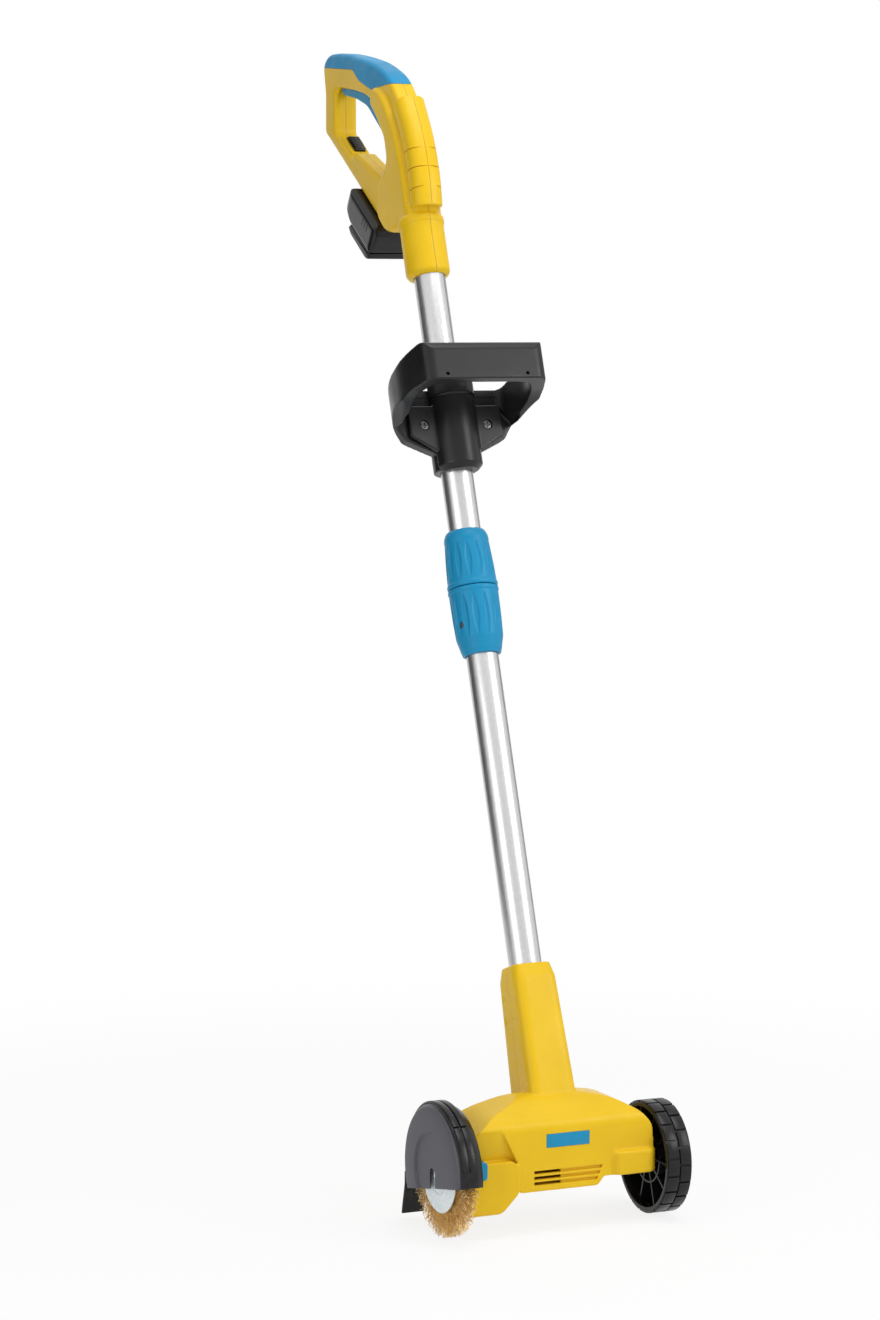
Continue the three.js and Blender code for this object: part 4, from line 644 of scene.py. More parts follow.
def guard_band(low, high, radius, start, stop):
    """A raised band over part of the guard's rim: an arc at the radius, closed just inside the rim."""
    angle = np.radians(np.linspace(start, stop, 90))
    arc = np.column_stack([-np.cos(angle), np.sin(angle)])
    curve = np.vstack([arc * radius, arc[::-1] * (GUARD - 0.8)])
    return slab("band", curve, low, high, 0.9, "x", "spindle", segments=4)


def guard_solid():
    """A cover turned about the spindle: its middle recessed, bands over its rim, its lower edge slanted."""
    face, middle, inside = GUARD_FACE, GUARD_FACE + 1.8, GUARD_FACE + 2.7
    outer = [[0, middle], [34.6, middle], [36.4, face], [55.4, face], [57.6, face + 0.5],
             [59.4, face + 2.3], [60.6, face + 4.3], [GUARD, face + 6.1], [GUARD, -102.6],
             [GUARD - 0.3, -101.6], [57.2, -95.6], [56.6, GUARD_BACK]]
    inner = [[55.3, GUARD_BACK], [59.0, -101.6], [59.2, -103], [59.2, -112.0], [58.4, -114.2],
             [55.7, inside], [0, inside]]
    cover = turned_profile("guard", outer + inner, "x", "spindle", 180)
    plate = [[19.2, GUARD_BACK - 1.8], [56.4, GUARD_BACK - 1.8], [56.0, GUARD_BACK], [19.2, GUARD_BACK]]
    add(cover, turned_profile("back", plate, "x", "spindle", 128))
    for low, high in BAND_LEVELS:
        for height, start, stop in BAND_STRETCHES:
            add(cover, guard_band(low, high, GUARD + height, start, stop))
    keep = np.array([[-200, LOWER_EDGE], [200, LOWER_EDGE], [200, 200], [-200, 200]])
    c, s = math.cos(LOWER_EDGE_TILT), math.sin(LOWER_EDGE_TILT)
    meet(cover, slab("keep", keep @ np.array([[c, s], [-s, c]]), -150, -80, 0, "x", "spindle"))
    shoulder = SLOT_HALF - 1.8
    slot = eased([[-SLOT_HALF, -80], [-SLOT_HALF, 0, 1], [-shoulder, shoulder, 2], [shoulder, shoulder, 2],
                  [SLOT_HALF, 0, 1], [SLOT_HALF, -80]], 5)
    return cut(cover, slab("spindle_slot", slot, -124, -114, 0, "x", "spindle"))


finished(guard_solid(), "brush_cover", "base", cover_black, ["brush_guard"], 30)

FLAP_LEFT, FLAP_RIGHT, FLAP_TOP = -117.0, -96.0, 44.0
flap_seat = math.sqrt(GUARD ** 2 - (SPINDLE - FLAP_TOP) ** 2) + GAP
flap_curve = eased([[68.8, 4, 0.6], [71.2, 4, 0.6], [69.6, 12, 2], [64.2, 32, 4], [64.2, FLAP_TOP, 0.8],
                    [flap_seat, FLAP_TOP, 0.4], [flap_seat, FLAP_TOP - 6, 1], [61.8, 32, 3]], 6)
flap = slab("flap", flap_curve, FLAP_LEFT, FLAP_RIGHT, 0.5, "x")
for x in (FLAP_LEFT + 4.5, FLAP_RIGHT - 4.5):
    add(flap, rod("flap_bump", 2.4, 60, 66.4, "y", (x, FLAP_TOP - 4), sides=32, edge=0.9))
add(flap, rod("flap_lip", 1.3, FLAP_LEFT + 0.4, FLAP_RIGHT - 0.4, "x", (70.3, 5.4), sides=32, edge=0.5))
finished(flap, "rear_flap", "base", flap_black, ["splash_flap"])

# BRUSH, levels counted along the spindle
BRUSH_MIDDLE, WIRES_PER_QUARTER = -107.0, 560
WIRE_ROOT, WIRE_TIP, WIRE_RADIUS = 31.5, 57.8, 0.22
WIRES_LEFT, WIRES_RIGHT = -114.0, -97.6
CORE, BORE, DISC_FACE = 30.0, 4.4, -111.35
SPINDLE_RADIUS, COLLAR_RADIUS = 4.0, 11.0


def crimped_wires(quarter, count):
    """Thin wires from the hub to the rim: each point lies at its share of the length, pushed sideways by a
    sine crimp and outwards by a spread that grows with the share, held inside the guard; each section is a
    triangle round the point."""
    steps, ring = 9, 3
    turn_share = (np.arange(count) + random.random(count)) / count
    angle = np.radians(quarter * 90 + 0.6 + turn_share * 88.8)[:, None]
    row = (random.random(count) - 0.5)[:, None]
    share = np.linspace(0, 1, steps)[None]
    tip = WIRE_TIP - 5.5 * random.random(count)[:, None] ** 2.5
    crimp = 0.8 + 0.5 * random.random(count)[:, None]
    phase = random.random(count)[:, None] * 2 * math.pi
    turns = 2.2 + 1.2 * random.random(count)[:, None]
    sway = (random.random(count)[:, None] - 0.5) * 8.5
    growth = np.minimum(1, share * 3)
    ripple = 0.6 * crimp * np.cos(phase * 1.7 + share * turns * 6.3) * growth
    x = BRUSH_MIDDLE + 1.7 * share ** 2 + row * (6.0 + 10.0 * share ** 2) + ripple
    x = np.clip(x, WIRES_LEFT, WIRES_RIGHT)
    side = crimp * np.sin(phase + share * turns * 2 * math.pi) * growth + sway * share ** 1.6
    radius = np.minimum(WIRE_ROOT + (tip - WIRE_ROOT) * share, 58.2 - 0.556 * np.maximum(0, x + 101.8))
    radius = np.sqrt(np.maximum(radius ** 2 - side ** 2, 1))
    spin = np.array([0, 2.094, 4.189])
    reach = side[:, :, None] + WIRE_RADIUS * np.cos(spin)
    c, s = np.cos(angle)[:, :, None], np.sin(angle)[:, :, None]
    y = radius[:, :, None] * c - reach * s
    z = radius[:, :, None] * s + reach * c
    points = np.stack([x[:, :, None] + WIRE_RADIUS * np.sin(spin) + y * 0, y, z], -1).reshape(-1, 3)
    start = (np.arange(count) * steps * ring)[:, None, None]
    quads = (start + np.array(grid_faces(steps, ring))[None]).reshape(-1, 4).tolist()
    last = (steps - 1) * ring
    caps = (start + np.array([[2, 1, 0], [last, last + 1, last + 2]])[None]).reshape(-1, 3).tolist()
    return points, quads + caps


core_low, core_high = BRUSH_MIDDLE - 4, BRUSH_MIDDLE + 4
for quarter in range(4):
    points, faces = crimped_wires(quarter, WIRES_PER_QUARTER)
    arc = np.radians(np.linspace(quarter * 90 + 0.4, quarter * 90 + 89.6, 30))
    circle = np.column_stack([np.cos(arc), np.sin(arc)])
    root_curve = np.vstack([circle * (CORE + 3), circle[::-1] * (CORE + 0.4)])
    root = slab("root", root_curve, core_low, core_high, 0.4, "x", "spindle")
    wires = gathered("wires", [shaped("wire", points, faces, "spindle", 70), root])
    name, node = f"wire_quarter_{quarter + 1}", f"brush_bristles_{quarter + 1}"
    finished(wires, name, "brush", brass, [node], 60)

rim, boss = DISC_FACE - 1.6, DISC_FACE - 2.0
disc_profile = rounded_profile([
    [BORE, DISC_FACE], [36, DISC_FACE], [36, DISC_FACE - 1.0], [34.6, rim], [22.6, rim], [22.0, boss],
    [19.4, boss], [18.8, DISC_FACE - 1.5], [11.2, DISC_FACE - 1.5], [10.6, boss], [BORE, boss]], 0.25, 3)
disc = turned_profile("disc", disc_profile, "x", "spindle", 128)
finished(disc, "milky_disc", "brush", milk, ["brush_disc"])
core_profile = rounded_profile([
    [BORE, core_low], [CORE, core_low], [CORE, core_high], [BORE, core_high]], 0.5, 3)
core = turned_profile("core", core_profile, "x", "spindle", 96)
finished(core, "hub_core", "brush", dark_steel, ["brush_core"])
shaft_profile = [
    [0, -112.5], [SPINDLE_RADIUS - 0.3, -112.5], [SPINDLE_RADIUS, -112.2], [SPINDLE_RADIUS, -102.7],
    [COLLAR_RADIUS - 0.4, -102.7], [COLLAR_RADIUS, -102.4], [COLLAR_RADIUS, -99.2],
    [COLLAR_RADIUS - 0.4, -99], [SPINDLE_RADIUS, -99], [SPINDLE_RADIUS, -52.3],
    [SPINDLE_RADIUS - 0.3, -52], [0, -52]]
shaft = turned_profile("shaft", shaft_profile, "x", "spindle", 64)
finished(shaft, "brush_shaft", "brush", bright_steel, ["spindle"])
bolt_seat = boss - 0.1
corner_turn = np.radians(np.arange(6) * 60)
hexagon = 5.2 * np.column_stack([np.cos(corner_turn), np.sin(corner_turn)])
bolt_curve = eased([[*corner, 0.4] for corner in hexagon.tolist()], 3)
bolt = slab("bolt", bolt_curve, bolt_seat - 2.6, bolt_seat, 0.4, "x", "spindle")
finished(bolt, "shaft_bolt", "brush", bright_steel, ["spindle_screw"])

# WHEEL
WHEEL, WHEEL_X, WHEEL_WIDTH = 51.0, 89.2, 24.6
WHEEL_OUT = WHEEL_X + WHEEL_WIDTH
WHEEL_MIDDLE = WHEEL_WIDTH / 2
DRUM, DRUM_INSIDE = WHEEL - 1.5, 45.5
SPOKES, SPOKE_HALF, SPOKE_FOOT = 10, 0.9, 8.0
BLOCKS, BLOCK_ARC, ROW_TURN = 20, 7.7, 7.2


def tread_block(row, middle):
    """One block of the tread: an arc of the rim between two grooves, its edges drawn in by a small round."""
    arc = middle + np.radians(np.linspace(-BLOCK_ARC, BLOCK_ARC, 8))
    rim = np.column_stack([np.cos(arc), np.sin(arc)])
    low, high = ((0.9, WHEEL_MIDDLE - 0.6), (WHEEL_MIDDLE + 0.6, WHEEL_WIDTH - 0.9))[row]
    curve = np.vstack([rim * WHEEL, rim[::-1] * (DRUM - 1)])
    return slab("block", curve, WHEEL_X + low, WHEEL_X + high, 0.45, "x", "axle", segments=2)


def wheel_solid():
    """Rim, web and hub turned about the axle, with spokes, a ring and two rows of tread blocks."""
    profile = rounded_profile([
        [5.35, WHEEL_X + 2], [10, WHEEL_X + 2], [10, WHEEL_OUT - 9], [DRUM_INSIDE, WHEEL_OUT - 7],
        [DRUM_INSIDE, WHEEL_X], [DRUM, WHEEL_X], [DRUM, WHEEL_OUT], [44, WHEEL_OUT - 0.6],
        [40, WHEEL_OUT - 4], [14, WHEEL_OUT - 5], [12, WHEEL_OUT - 1], [5.35, WHEEL_OUT - 1]], 0.7, 3)
    body = turned_profile("wheel", profile, "x", "axle", 160)
    low, high = WHEEL_X + 5, WHEEL_OUT - 6
    add(body, turned_profile("ring", [[22.4, low], [24, low], [24, high], [22.4, high]], "x", "axle", 96))
    for index in range(SPOKES):
        turn = math.radians(index * 360 / SPOKES)
        along = np.array([math.cos(turn), math.sin(turn)])
        half = np.array([-math.sin(turn), math.cos(turn)]) * SPOKE_HALF
        foot, head = along * SPOKE_FOOT, along * (DRUM_INSIDE + 1)
        curve = np.array([foot - half, head - half, head + half, foot + half])
        add(body, slab("spoke", curve, low, high, 0, "x", "axle"))
    blocks = [tread_block(row, math.radians(index * 360 / BLOCKS - 90 + row * ROW_TURN))
              for row in (0, 1) for index in range(BLOCKS)]
    return add(body, gathered("tread", blocks))


finished(wheel_solid(), "guide_wheel", "wheel", tyre_black, ["wheel"], 30)
cap_profile = [
    [0, WHEEL_OUT + 0.05], [9.6, WHEEL_OUT + 0.05], [10, WHEEL_OUT + 0.4], [9.4, WHEEL_OUT + 1.6],
    [7, WHEEL_OUT + 2.5], [3, WHEEL_OUT + 2.95], [0, WHEEL_OUT + 3]]
cap = turned_profile("cap", cap_profile, "x", "axle", 64)
finished(cap, "hub_cap", "wheel", tyre_black, ["wheel_cap"])

# POLE
TUBE_WALL, INNER_TUBE = 1.2, 13.5
LOWER_FOOT, LOWER_LENGTH = 72.0, 448.0
INNER_FOOT, INNER_LENGTH = 250.0, 370.0
UPPER_FOOT, UPPER_LENGTH = 561.0, 327.0
LOCK_FOOT, LOCK_SEAM, LOCK_TOP = 469.5, 533.0, 587.5
LOCK_BORE, LOCK_RIM, NUT_BORE, SPIGOT_TOP = 15.4, 23.6, 19.4, 559.0
SCREW_LEVEL, SCREW_RADIUS, SCREW_HEAD = LOCK_FOOT + 27.5, 2.35, 3.55


def tube(name, foot, length, radius, node, body):
    """A round tube with slightly rounded ends."""
    bore, head = radius - TUBE_WALL, foot + length
    profile = rounded_profile([[bore, foot], [radius, foot], [radius, head], [bore, head]], 0.35, 3)
    obj = turned_profile(name, profile, "z", "pole", 96)
    return finished(obj, name, body, satin, [node])


def radial_rod(name, radius, low, high, level, turn=math.radians(20), sides=36):
    """A round rod that points outwards from the pole: two rings turned about it from its left side."""
    angle = np.linspace(0, 2 * math.pi, sides, endpoint=False)
    out = -np.repeat([high, low], sides)
    across, up = np.tile(radius * np.cos(angle), 2), np.tile(radius * np.sin(angle), 2) + level
    c, s = math.cos(turn), math.sin(turn)
    points = np.column_stack([out * c - across * s, out * s + across * c, up])
    return shaped(name, points, tube_faces(2, sides), "pole")


lower_pole = tube("pole_lower", LOWER_FOOT, LOWER_LENGTH, TUBE, "lower_tube", "base")
cut(lower_pole, radial_rod("screw_hole", SCREW_RADIUS, 12, 17, SCREW_LEVEL))
soften(lower_pole)
tube("pole_inner", INNER_FOOT, INNER_LENGTH, INNER_TUBE, "inner_tube", "upper")
tube("pole_upper", UPPER_FOOT, UPPER_LENGTH, TUBE, "upper_tube", "upper")


def fluted(low, high, depth, count=14):
    """Radius less a hollow, deepest at the middle of each pointed flute, that runs out at both its ends."""
    def swell(angle, radius, level):
        """The radius at an angle and a level; the flutes lie only on the outside of the profile."""
        phase = (angle * count / (2 * math.pi)) % 1.0 - 0.5
        share = np.clip((level - low) / (high - low), 0, 1)
        width = 0.33 * np.sin(share * math.pi) ** 0.8 + 1e-6
        inside = np.clip(1 - (phase / width) ** 2, 0, 1)
        return radius - depth * inside ** 0.8 * np.sin(share * math.pi) ** 0.5 * (radius > 18.6)
    return swell


def dense(profile, step=0.9):
    """A closed profile with points added so that none lie more than a step apart."""
    profile = np.asarray(profile, float)
    parts = []
    for here, ahead in zip(profile, np.roll(profile, -1, 0)):
        count = max(1, int(np.linalg.norm(ahead - here) / step))
        share = np.linspace(0, 1, count, endpoint=False)[:, None]
        parts.append(here + (ahead - here) * share)
    return np.vstack(parts)


def lock_piece(name, profile, flutes):
    """A piece of the lock: its eased and densely stepped profile turned about the pole, less the flutes."""
    return turned_profile(name, dense(rounded_profile(profile, 0.8, 4)), "z", "pole", 252, 35, swell=flutes)


tube_seat = LOWER_FOOT + LOWER_LENGTH + 0.4
sleeve = lock_piece("sleeve", [
    [LOCK_BORE, LOCK_FOOT], [17.8, LOCK_FOOT], [18.6, LOCK_FOOT + 3.4], [19.0, LOCK_FOOT + 4.2],
    [20.3, LOCK_FOOT + 10], [21.8, LOCK_FOOT + 16], [22.6, LOCK_FOOT + 34], [23.0, LOCK_SEAM - 5.2],
    [LOCK_RIM, LOCK_SEAM - 4.2], [LOCK_RIM, LOCK_SEAM - 1.6], [22.8, LOCK_SEAM - 0.6],
    [19.0, LOCK_SEAM - 0.6], [19.0, SPIGOT_TOP], [16.5, SPIGOT_TOP], [16.5, LOCK_SEAM], [13.9, LOCK_SEAM],
    [13.9, tube_seat], [LOCK_BORE, tube_seat]], fluted(LOCK_FOOT + 15, LOCK_SEAM - 8, 1.8))
cut(sleeve, radial_rod("screw_way", SCREW_RADIUS, 12, 26, SCREW_LEVEL))
cut(sleeve, radial_rod("head_way", SCREW_HEAD, 17.8, 26, SCREW_LEVEL))
finished(sleeve, "lock_sleeve", "base", blue, ["lower_lock_sleeve"])
nodes["sleeve_screw"].data.materials[0] = bright_steel
nut = lock_piece("nut", [
    [NUT_BORE, LOCK_SEAM], [22.8, LOCK_SEAM], [LOCK_RIM, LOCK_SEAM + 1.0], [LOCK_RIM, LOCK_SEAM + 3.6],
    [22.9, LOCK_SEAM + 4.6], [22.2, LOCK_SEAM + 20], [20.6, LOCK_TOP - 11], [20.9, LOCK_TOP - 9.6],
    [20.4, LOCK_TOP - 6], [18.8, LOCK_TOP - 2], [16.9, LOCK_TOP], [LOCK_BORE, LOCK_TOP],
    [LOCK_BORE, SPIGOT_TOP + 0.4], [NUT_BORE, SPIGOT_TOP + 0.4]], fluted(LOCK_SEAM + 7, LOCK_TOP - 13, 1.7))
finished(nut, "twist_nut", "lock_nut", blue, ["twist_lock_nut"])

# AUXILIARY HANDLE
CLAMP_FOOT, CLAMP_TOP, CLAMP = 643.0, 729.0, 22.0
# How far the middle of the clamp's barrel lies in front of the tube's
FORWARD = 8.0
HALF, REACH = 67.0, 96.0
BAND, BAR = 10.0, 10.0
BAR_FOOT, BAR_TOP = 706.0, 746.0
PLATE_FRONT, PLATE_REAR = -8.6, 4.0
PLATE_FOOT, PLATE_RISE, PLATE_TOP = 674.0, 13.0, 722.0
EAR_HALF = 47.0
CLAMP_SCREW_X, CLAMP_SCREW_LEVEL = 32.0, 687.0
BAR_HOLE_X = 40.0
SADDLE_FOOT, SADDLE_REAR = 645.0, 8.0
BELOW_BOW, ABOVE_BOW = 630.0, 760.0


def mirrored(right_half):
    """An outline from its right half: the mirrored points in the opposite order, then the half itself."""
    return [[-point[0], *point[1:]] for point in right_half[::-1]] + right_half


def bow_solid():
    """The bow: its plan met with its side view and its front view, plus the round rear half of the clamp."""
    plan = eased(mirrored([
        [HALF * 0.85, PLATE_REAR, 10], [HALF * 1.02, -REACH * 0.25, 20], [HALF * 1.05, -REACH * 0.62, 20],
        [HALF * 0.87, -REACH, 8]]), 14)
    opening = eased(mirrored([
        [HALF * 0.9 - BAND, PLATE_FRONT, 8], [HALF * 1.03 - BAND, -REACH * 0.58, 18],
        [HALF * 0.86 - BAND, BAR - REACH, 14]]), 14)
    side = eased([
        [-REACH - 0.2, BAR_FOOT - 0.5, 9], [-REACH - 0.2, BAR_TOP - 1, 14], [PLATE_FRONT, PLATE_TOP, 3],
        [SADDLE_REAR, PLATE_TOP], [SADDLE_REAR, SADDLE_FOOT], [PLATE_FRONT, SADDLE_FOOT],
        [PLATE_FRONT - 1, PLATE_FOOT], [PLATE_FRONT * 2, 684, 3], [-38, 692, 6], [-REACH * 0.65, 702, 10],
        [-REACH, BAR_FOOT]])
    face = eased(mirrored([
        [CLAMP, PLATE_FOOT - PLATE_RISE, 3], [HALF * 0.75, PLATE_FOOT, 2], [HALF * 0.97, BAR_FOOT - 10, 6],
        [HALF * 1.2, BAR_FOOT], [HALF * 1.2, BAR_TOP]]))
    solid = slab("bow", plan, 640, BAR_TOP, 0, "z", "pole")
    cut(solid, slab("opening", opening, BELOW_BOW, ABOVE_BOW, 0, "z", "pole"))
    meet(solid, slab("bow_side", side, -90, 90, 0, "x", "pole"),
         slab("bow_face", face, -REACH - 5, SADDLE_REAR, 0, "y", "pole"))
    saddle = rod("saddle", CLAMP - 0.6, SADDLE_FOOT, PLATE_TOP, "z", (0, 0), "pole", 96, 1.5)
    seat = PLATE_FRONT + GAP
    add(solid, cut(saddle, box("saddle_cut", [-26, -26, BELOW_BOW], [26, seat, ABOVE_BOW], "pole")))
    wall = EAR_HALF + GAP
    relief = np.array(mirrored([[58, 640], [58, 690], [wall, 703], [wall, 733]]))
    return cut(solid, slab("ear_relief", relief, -48, seat, 0, "y", "pole"))


bow = melted(bow_solid(), 0.85, 4)
cut(bow, rod("tube_way", TUBE + 0.3, BELOW_BOW, ABOVE_BOW, "z", (0, 0), "pole", 96))
line_low, line_high = [-EAR_HALF, PLATE_FRONT - 1, 714.6], [EAR_HALF, PLATE_FRONT + 1, 715.4]
cut(bow, box("plate_line", line_low, line_high, "pole"))
for x in (-BAR_HOLE_X, BAR_HOLE_X):
    cut(bow, rod("bar_hole", 1.7, -REACH - 6, -REACH + 5, "y", (x, BAR_FOOT + 4.5), "pole", 32))
for x in (-CLAMP_SCREW_X, CLAMP_SCREW_X):
    place = (x, CLAMP_SCREW_LEVEL)
    cut(bow, rod("screw_way", 2.7, -14, 8, "y", place, "pole", 32))
    cut(bow, rod("nut_way", 4.9, 1, 8, "y", place, "pole", 6))
finished(bow, "bow_handle", "aux_handle", black, ["aux_bow"])


def clamp_cap_solid():
    """The front half of the clamp: a turned barrel with a raised top ring, and two ears."""
    barrel = turned_profile("clamp", [
        [0, CLAMP_FOOT], [CLAMP - 5, CLAMP_FOOT], [CLAMP - 4.2, CLAMP_FOOT + 0.5],
        [CLAMP - 0.5, CLAMP_FOOT + 4.2], [CLAMP, CLAMP_FOOT + 5.2], [CLAMP, CLAMP_TOP - 16],
        [CLAMP + 0.9, CLAMP_TOP - 15], [CLAMP + 0.9, CLAMP_TOP - 3], [CLAMP - 0.2, CLAMP_TOP - 1],
        [CLAMP - 2, CLAMP_TOP], [0, CLAMP_TOP]],
        "z", "pole", 96, centre=(0, -FORWARD))
    ear = eased(mirrored([[CLAMP, PLATE_FOOT - PLATE_RISE + 1, 2.5], [EAR_HALF, PLATE_FOOT + 3, 2.5],
                          [EAR_HALF, BAR_FOOT, 2.5]]))
    add(barrel, slab("ears", ear, PLATE_FRONT - 5, PLATE_FRONT, 0.9, "y", "pole"))
    return meet(barrel, box("front_half", [-52, -REACH, BELOW_BOW], [52, PLATE_FRONT, 740], "pole"))


clamp_cap = melted(clamp_cap_solid(), 0.7, 2)
cut(clamp_cap, rod("tube_way", TUBE + 0.3, BELOW_BOW, ABOVE_BOW, "z", (0, 0), "pole", 96))
for x in (-CLAMP_SCREW_X, CLAMP_SCREW_X):
    place = (x, CLAMP_SCREW_LEVEL)
    cut(clamp_cap, rod("screw_way", 2.7, -18, 0, "y", place, "pole", 32))
    cut(clamp_cap, rod("head_way", 4.9, -18, PLATE_FRONT - 2.2, "y", place, "pole", 40))
finished(clamp_cap, "bow_clamp", "aux_handle", black, ["aux_clamp_cap"])


def clamp_screw(x):
    """A screw of the clamp: a shank and a head with a crossed recess."""
    place, level = (x, CLAMP_SCREW_LEVEL), CLAMP_SCREW_LEVEL
    face, deep = PLATE_FRONT - 5, PLATE_FRONT - 3.6
    screw = rod("screw", 2.3, PLATE_FRONT - 3, 2, "y", place, "pole", 32, 0.2)
    add(screw, rod("head", 4.3, PLATE_FRONT - 4.6, PLATE_FRONT - 2.4, "y", place, "pole", 40, 0.9))
    for wide, tall in ((2.6, 0.5), (0.5, 2.6)):
        cut(screw, box("recess", [x - wide, face, level - tall], [x + wide, deep, level + tall], "pole"))
    return screw


for number, x in ((1, -CLAMP_SCREW_X), (2, CLAMP_SCREW_X)):
    node = f"clamp_screw_{number}"
    finished(clamp_screw(x), f"bow_screw_{number}", "aux_handle", black_steel, [node])

# REAR HANDLE
FOOT, RISE, HANDLE_REACH = 836.0, 288.0, 171.0
HANDLE_HALF, BODY_HALF, HANDLE_EDGE = 12.0, 17.5, 4.5
COLLAR, COLLAR_TOP, COLLAR_SHIFT = 21.0, FOOT + 57, 2.0
SLIDE_HALF, SLIDE_LOW, SLIDE_HIGH = 5.5, 115.5, 139.5
SLIDE_FACE, SLIDE_RIBS, RIB_HEIGHT = -19.8, 7, 0.9
GROOVE_SHARES, GROOVE_HALF = (0.28, 0.347, 0.413), 0.55
TRIGGER_HALF, TRIGGER_PLAY = 6.5, 0.6
# Shares of the reach and of the rise of each shell screw, and the half width of the handle there
HANDLE_SCREWS = (
    (0.16, 0.262, BODY_HALF), (0.06, 0.5, BODY_HALF), (0.255, 0.33, BODY_HALF), (0.87, 0.74, HANDLE_HALF))
FAR = 35.0


def handle_curve(shares, steps=12):
    """Shares of the handle's reach and rise made an outline; the third share is the ease of the corner."""
    corners = []
    for reach_share, rise_share, *ease_share in shares:
        ease = ease_share[0] * HANDLE_REACH if ease_share else 0
        corners.append([reach_share * HANDLE_REACH, FOOT + rise_share * RISE, ease])
    return eased(corners, steps)


loop_shares = [
    [-0.082, 0.198], [-0.129, 0.264, 0.05], [-0.117, 0.448, 0.08], [-0.07, 0.587, 0.08],
    [0.023, 0.708, 0.1], [0.222, 0.806, 0.1], [0.44, 0.882, 0.1], [0.655, 0.948, 0.08],
    [0.81, 0.98, 0.06], [0.9025, 0.963, 0.06], [0.925, 0.86, 0.03], [1, 0.736, 0.04],
    [0.96, 0.7085, 0.02], [0.33, 0.232, 0.05], [0.2, 0.198, 0.03]]
opening_shares = [
    [0.775, 0.838, 0.02], [0.852, 0.706, 0.02], [0.678, 0.573, 0.012], [0.62, 0.576, 0.012],
    [0.304, 0.406, 0.04], [0.14, 0.444, 0.05], [0.134, 0.517, 0.03], [0.204, 0.595, 0.04],
    [0.275, 0.675, 0.05], [0.393, 0.735, 0.05], [0.537, 0.784, 0.06], [0.733, 0.84, 0.02]]
body_shares = [
    [-0.02, 0.198], [-0.045, 0.264, 0.05], [-0.04, 0.42, 0.08], [0.02, 0.56, 0.08], [0.09, 0.66, 0.08],
    [0.2, 0.72, 0.05], [0.27, 0.67, 0.03], [0.205, 0.604, 0.04], [0.14, 0.517, 0.03], [0.146, 0.435, 0.05],
    [0.3, 0.39, 0.05], [0.38, 0.3, 0.06], [0.3, 0.226, 0.05], [0.2, 0.198, 0.03]]
spine_shares = [[-0.086, 0.224], [-0.108, 0.326], [-0.095, 0.458], [-0.038, 0.6]]
grip_shares = [
    [1.06, 1.08], [0.95, 0.962], [0.86, 0.944], [0.491, 0.847, 0.02], [0.427, 0.792, 0.03],
    [0.269, 0.719, 0.04], [0.117, 0.698, 0.04], [-0.058, 0.667], [-0.2, 0.62], [-0.28, 0.8], [0.1, 1.1],
    [1.06, 1.1]]
trigger_shares = [
    [0.752, 0.837, 0.01], [0.726, 0.812, 0.012], [0.573, 0.763, 0.05], [0.428, 0.702, 0.05],
    [0.35, 0.635, 0.03], [0.285, 0.58, 0.01], [0.254, 0.605, 0.01], [0.304, 0.667, 0.04],
    [0.42, 0.743, 0.05], [0.573, 0.81, 0.05], [0.69, 0.848, 0.01]]
slot_shares = [
    [0.79, 0.8], [0.78, 0.868], [0.655, 0.875], [0.49, 0.835], [0.34, 0.764], [0.222, 0.688], [0.164, 0.59],
    [0.29, 0.54], [0.36, 0.58], [0.47, 0.67], [0.58, 0.74]]


def through_points(path, steps=12):
    """A smooth curve through the points of a path: between two points, the cubic whose ends lean along the
    line from the point before to the point after."""
    knots = np.vstack([2 * path[0] - path[1], path, 2 * path[-1] - path[-2]])
    t = np.linspace(0, 1, steps + 1)[:-1, None]
    parts = []
    for k in range(len(path) - 1):
        p0, p1, p2, p3 = knots[k:k + 4]
        square, cube = 2 * p0 - 5 * p1 + 4 * p2 - p3, 3 * p1 - p0 - 3 * p2 + p3
        parts.append(0.5 * (2 * p1 + (p2 - p0) * t + square * t ** 2 + cube * t ** 3))
    return np.vstack([*parts, path[-1:]])


def spine_solid(sides=48, half=15.0, height=13.0, power=0.8):
    """The back of the handle: an oval section, sine and cosine to a power, carried along a smooth curve."""
    line = through_points(np.array(spine_shares) * [HANDLE_REACH, RISE] + [0, FOOT])
    along = np.gradient(line, axis=0)
    along /= np.linalg.norm(along, axis=1)[:, None]
    out = np.column_stack([-along[:, 1], along[:, 0]])
    angle = np.linspace(0, 2 * math.pi, sides, endpoint=False)
    bend = np.sign(np.cos(angle)) * np.abs(np.cos(angle)) ** power * height
    wide = np.sign(np.sin(angle)) * np.abs(np.sin(angle)) ** power * half
    flat = np.repeat(line, sides, 0) + np.repeat(out, sides, 0) * np.tile(bend, len(line))[:, None]
    points = np.column_stack([np.tile(wide, len(line)), flat])
    return shaped("spine", points, tube_faces(len(line), sides), "pole")


def collar_solid():
    """The collar round the tube, turned about a centre behind the tube's, with a raised ring at its top."""
    return turned_profile("collar", [
        [0, FOOT], [COLLAR - 4, FOOT], [COLLAR - 2.4, FOOT + 0.6], [COLLAR - 0.5, FOOT + 3.2],
        [COLLAR, FOOT + 5], [COLLAR, COLLAR_TOP - 6], [COLLAR + 0.9, COLLAR_TOP - 5.2],
        [COLLAR + 0.9, COLLAR_TOP], [COLLAR - 0.6, COLLAR_TOP + 2.4], [COLLAR - 3.5, COLLAR_TOP + 3.5],
        [0, COLLAR_TOP + 3.5]],
        "z", "pole", 96, centre=(0, COLLAR_SHIFT))


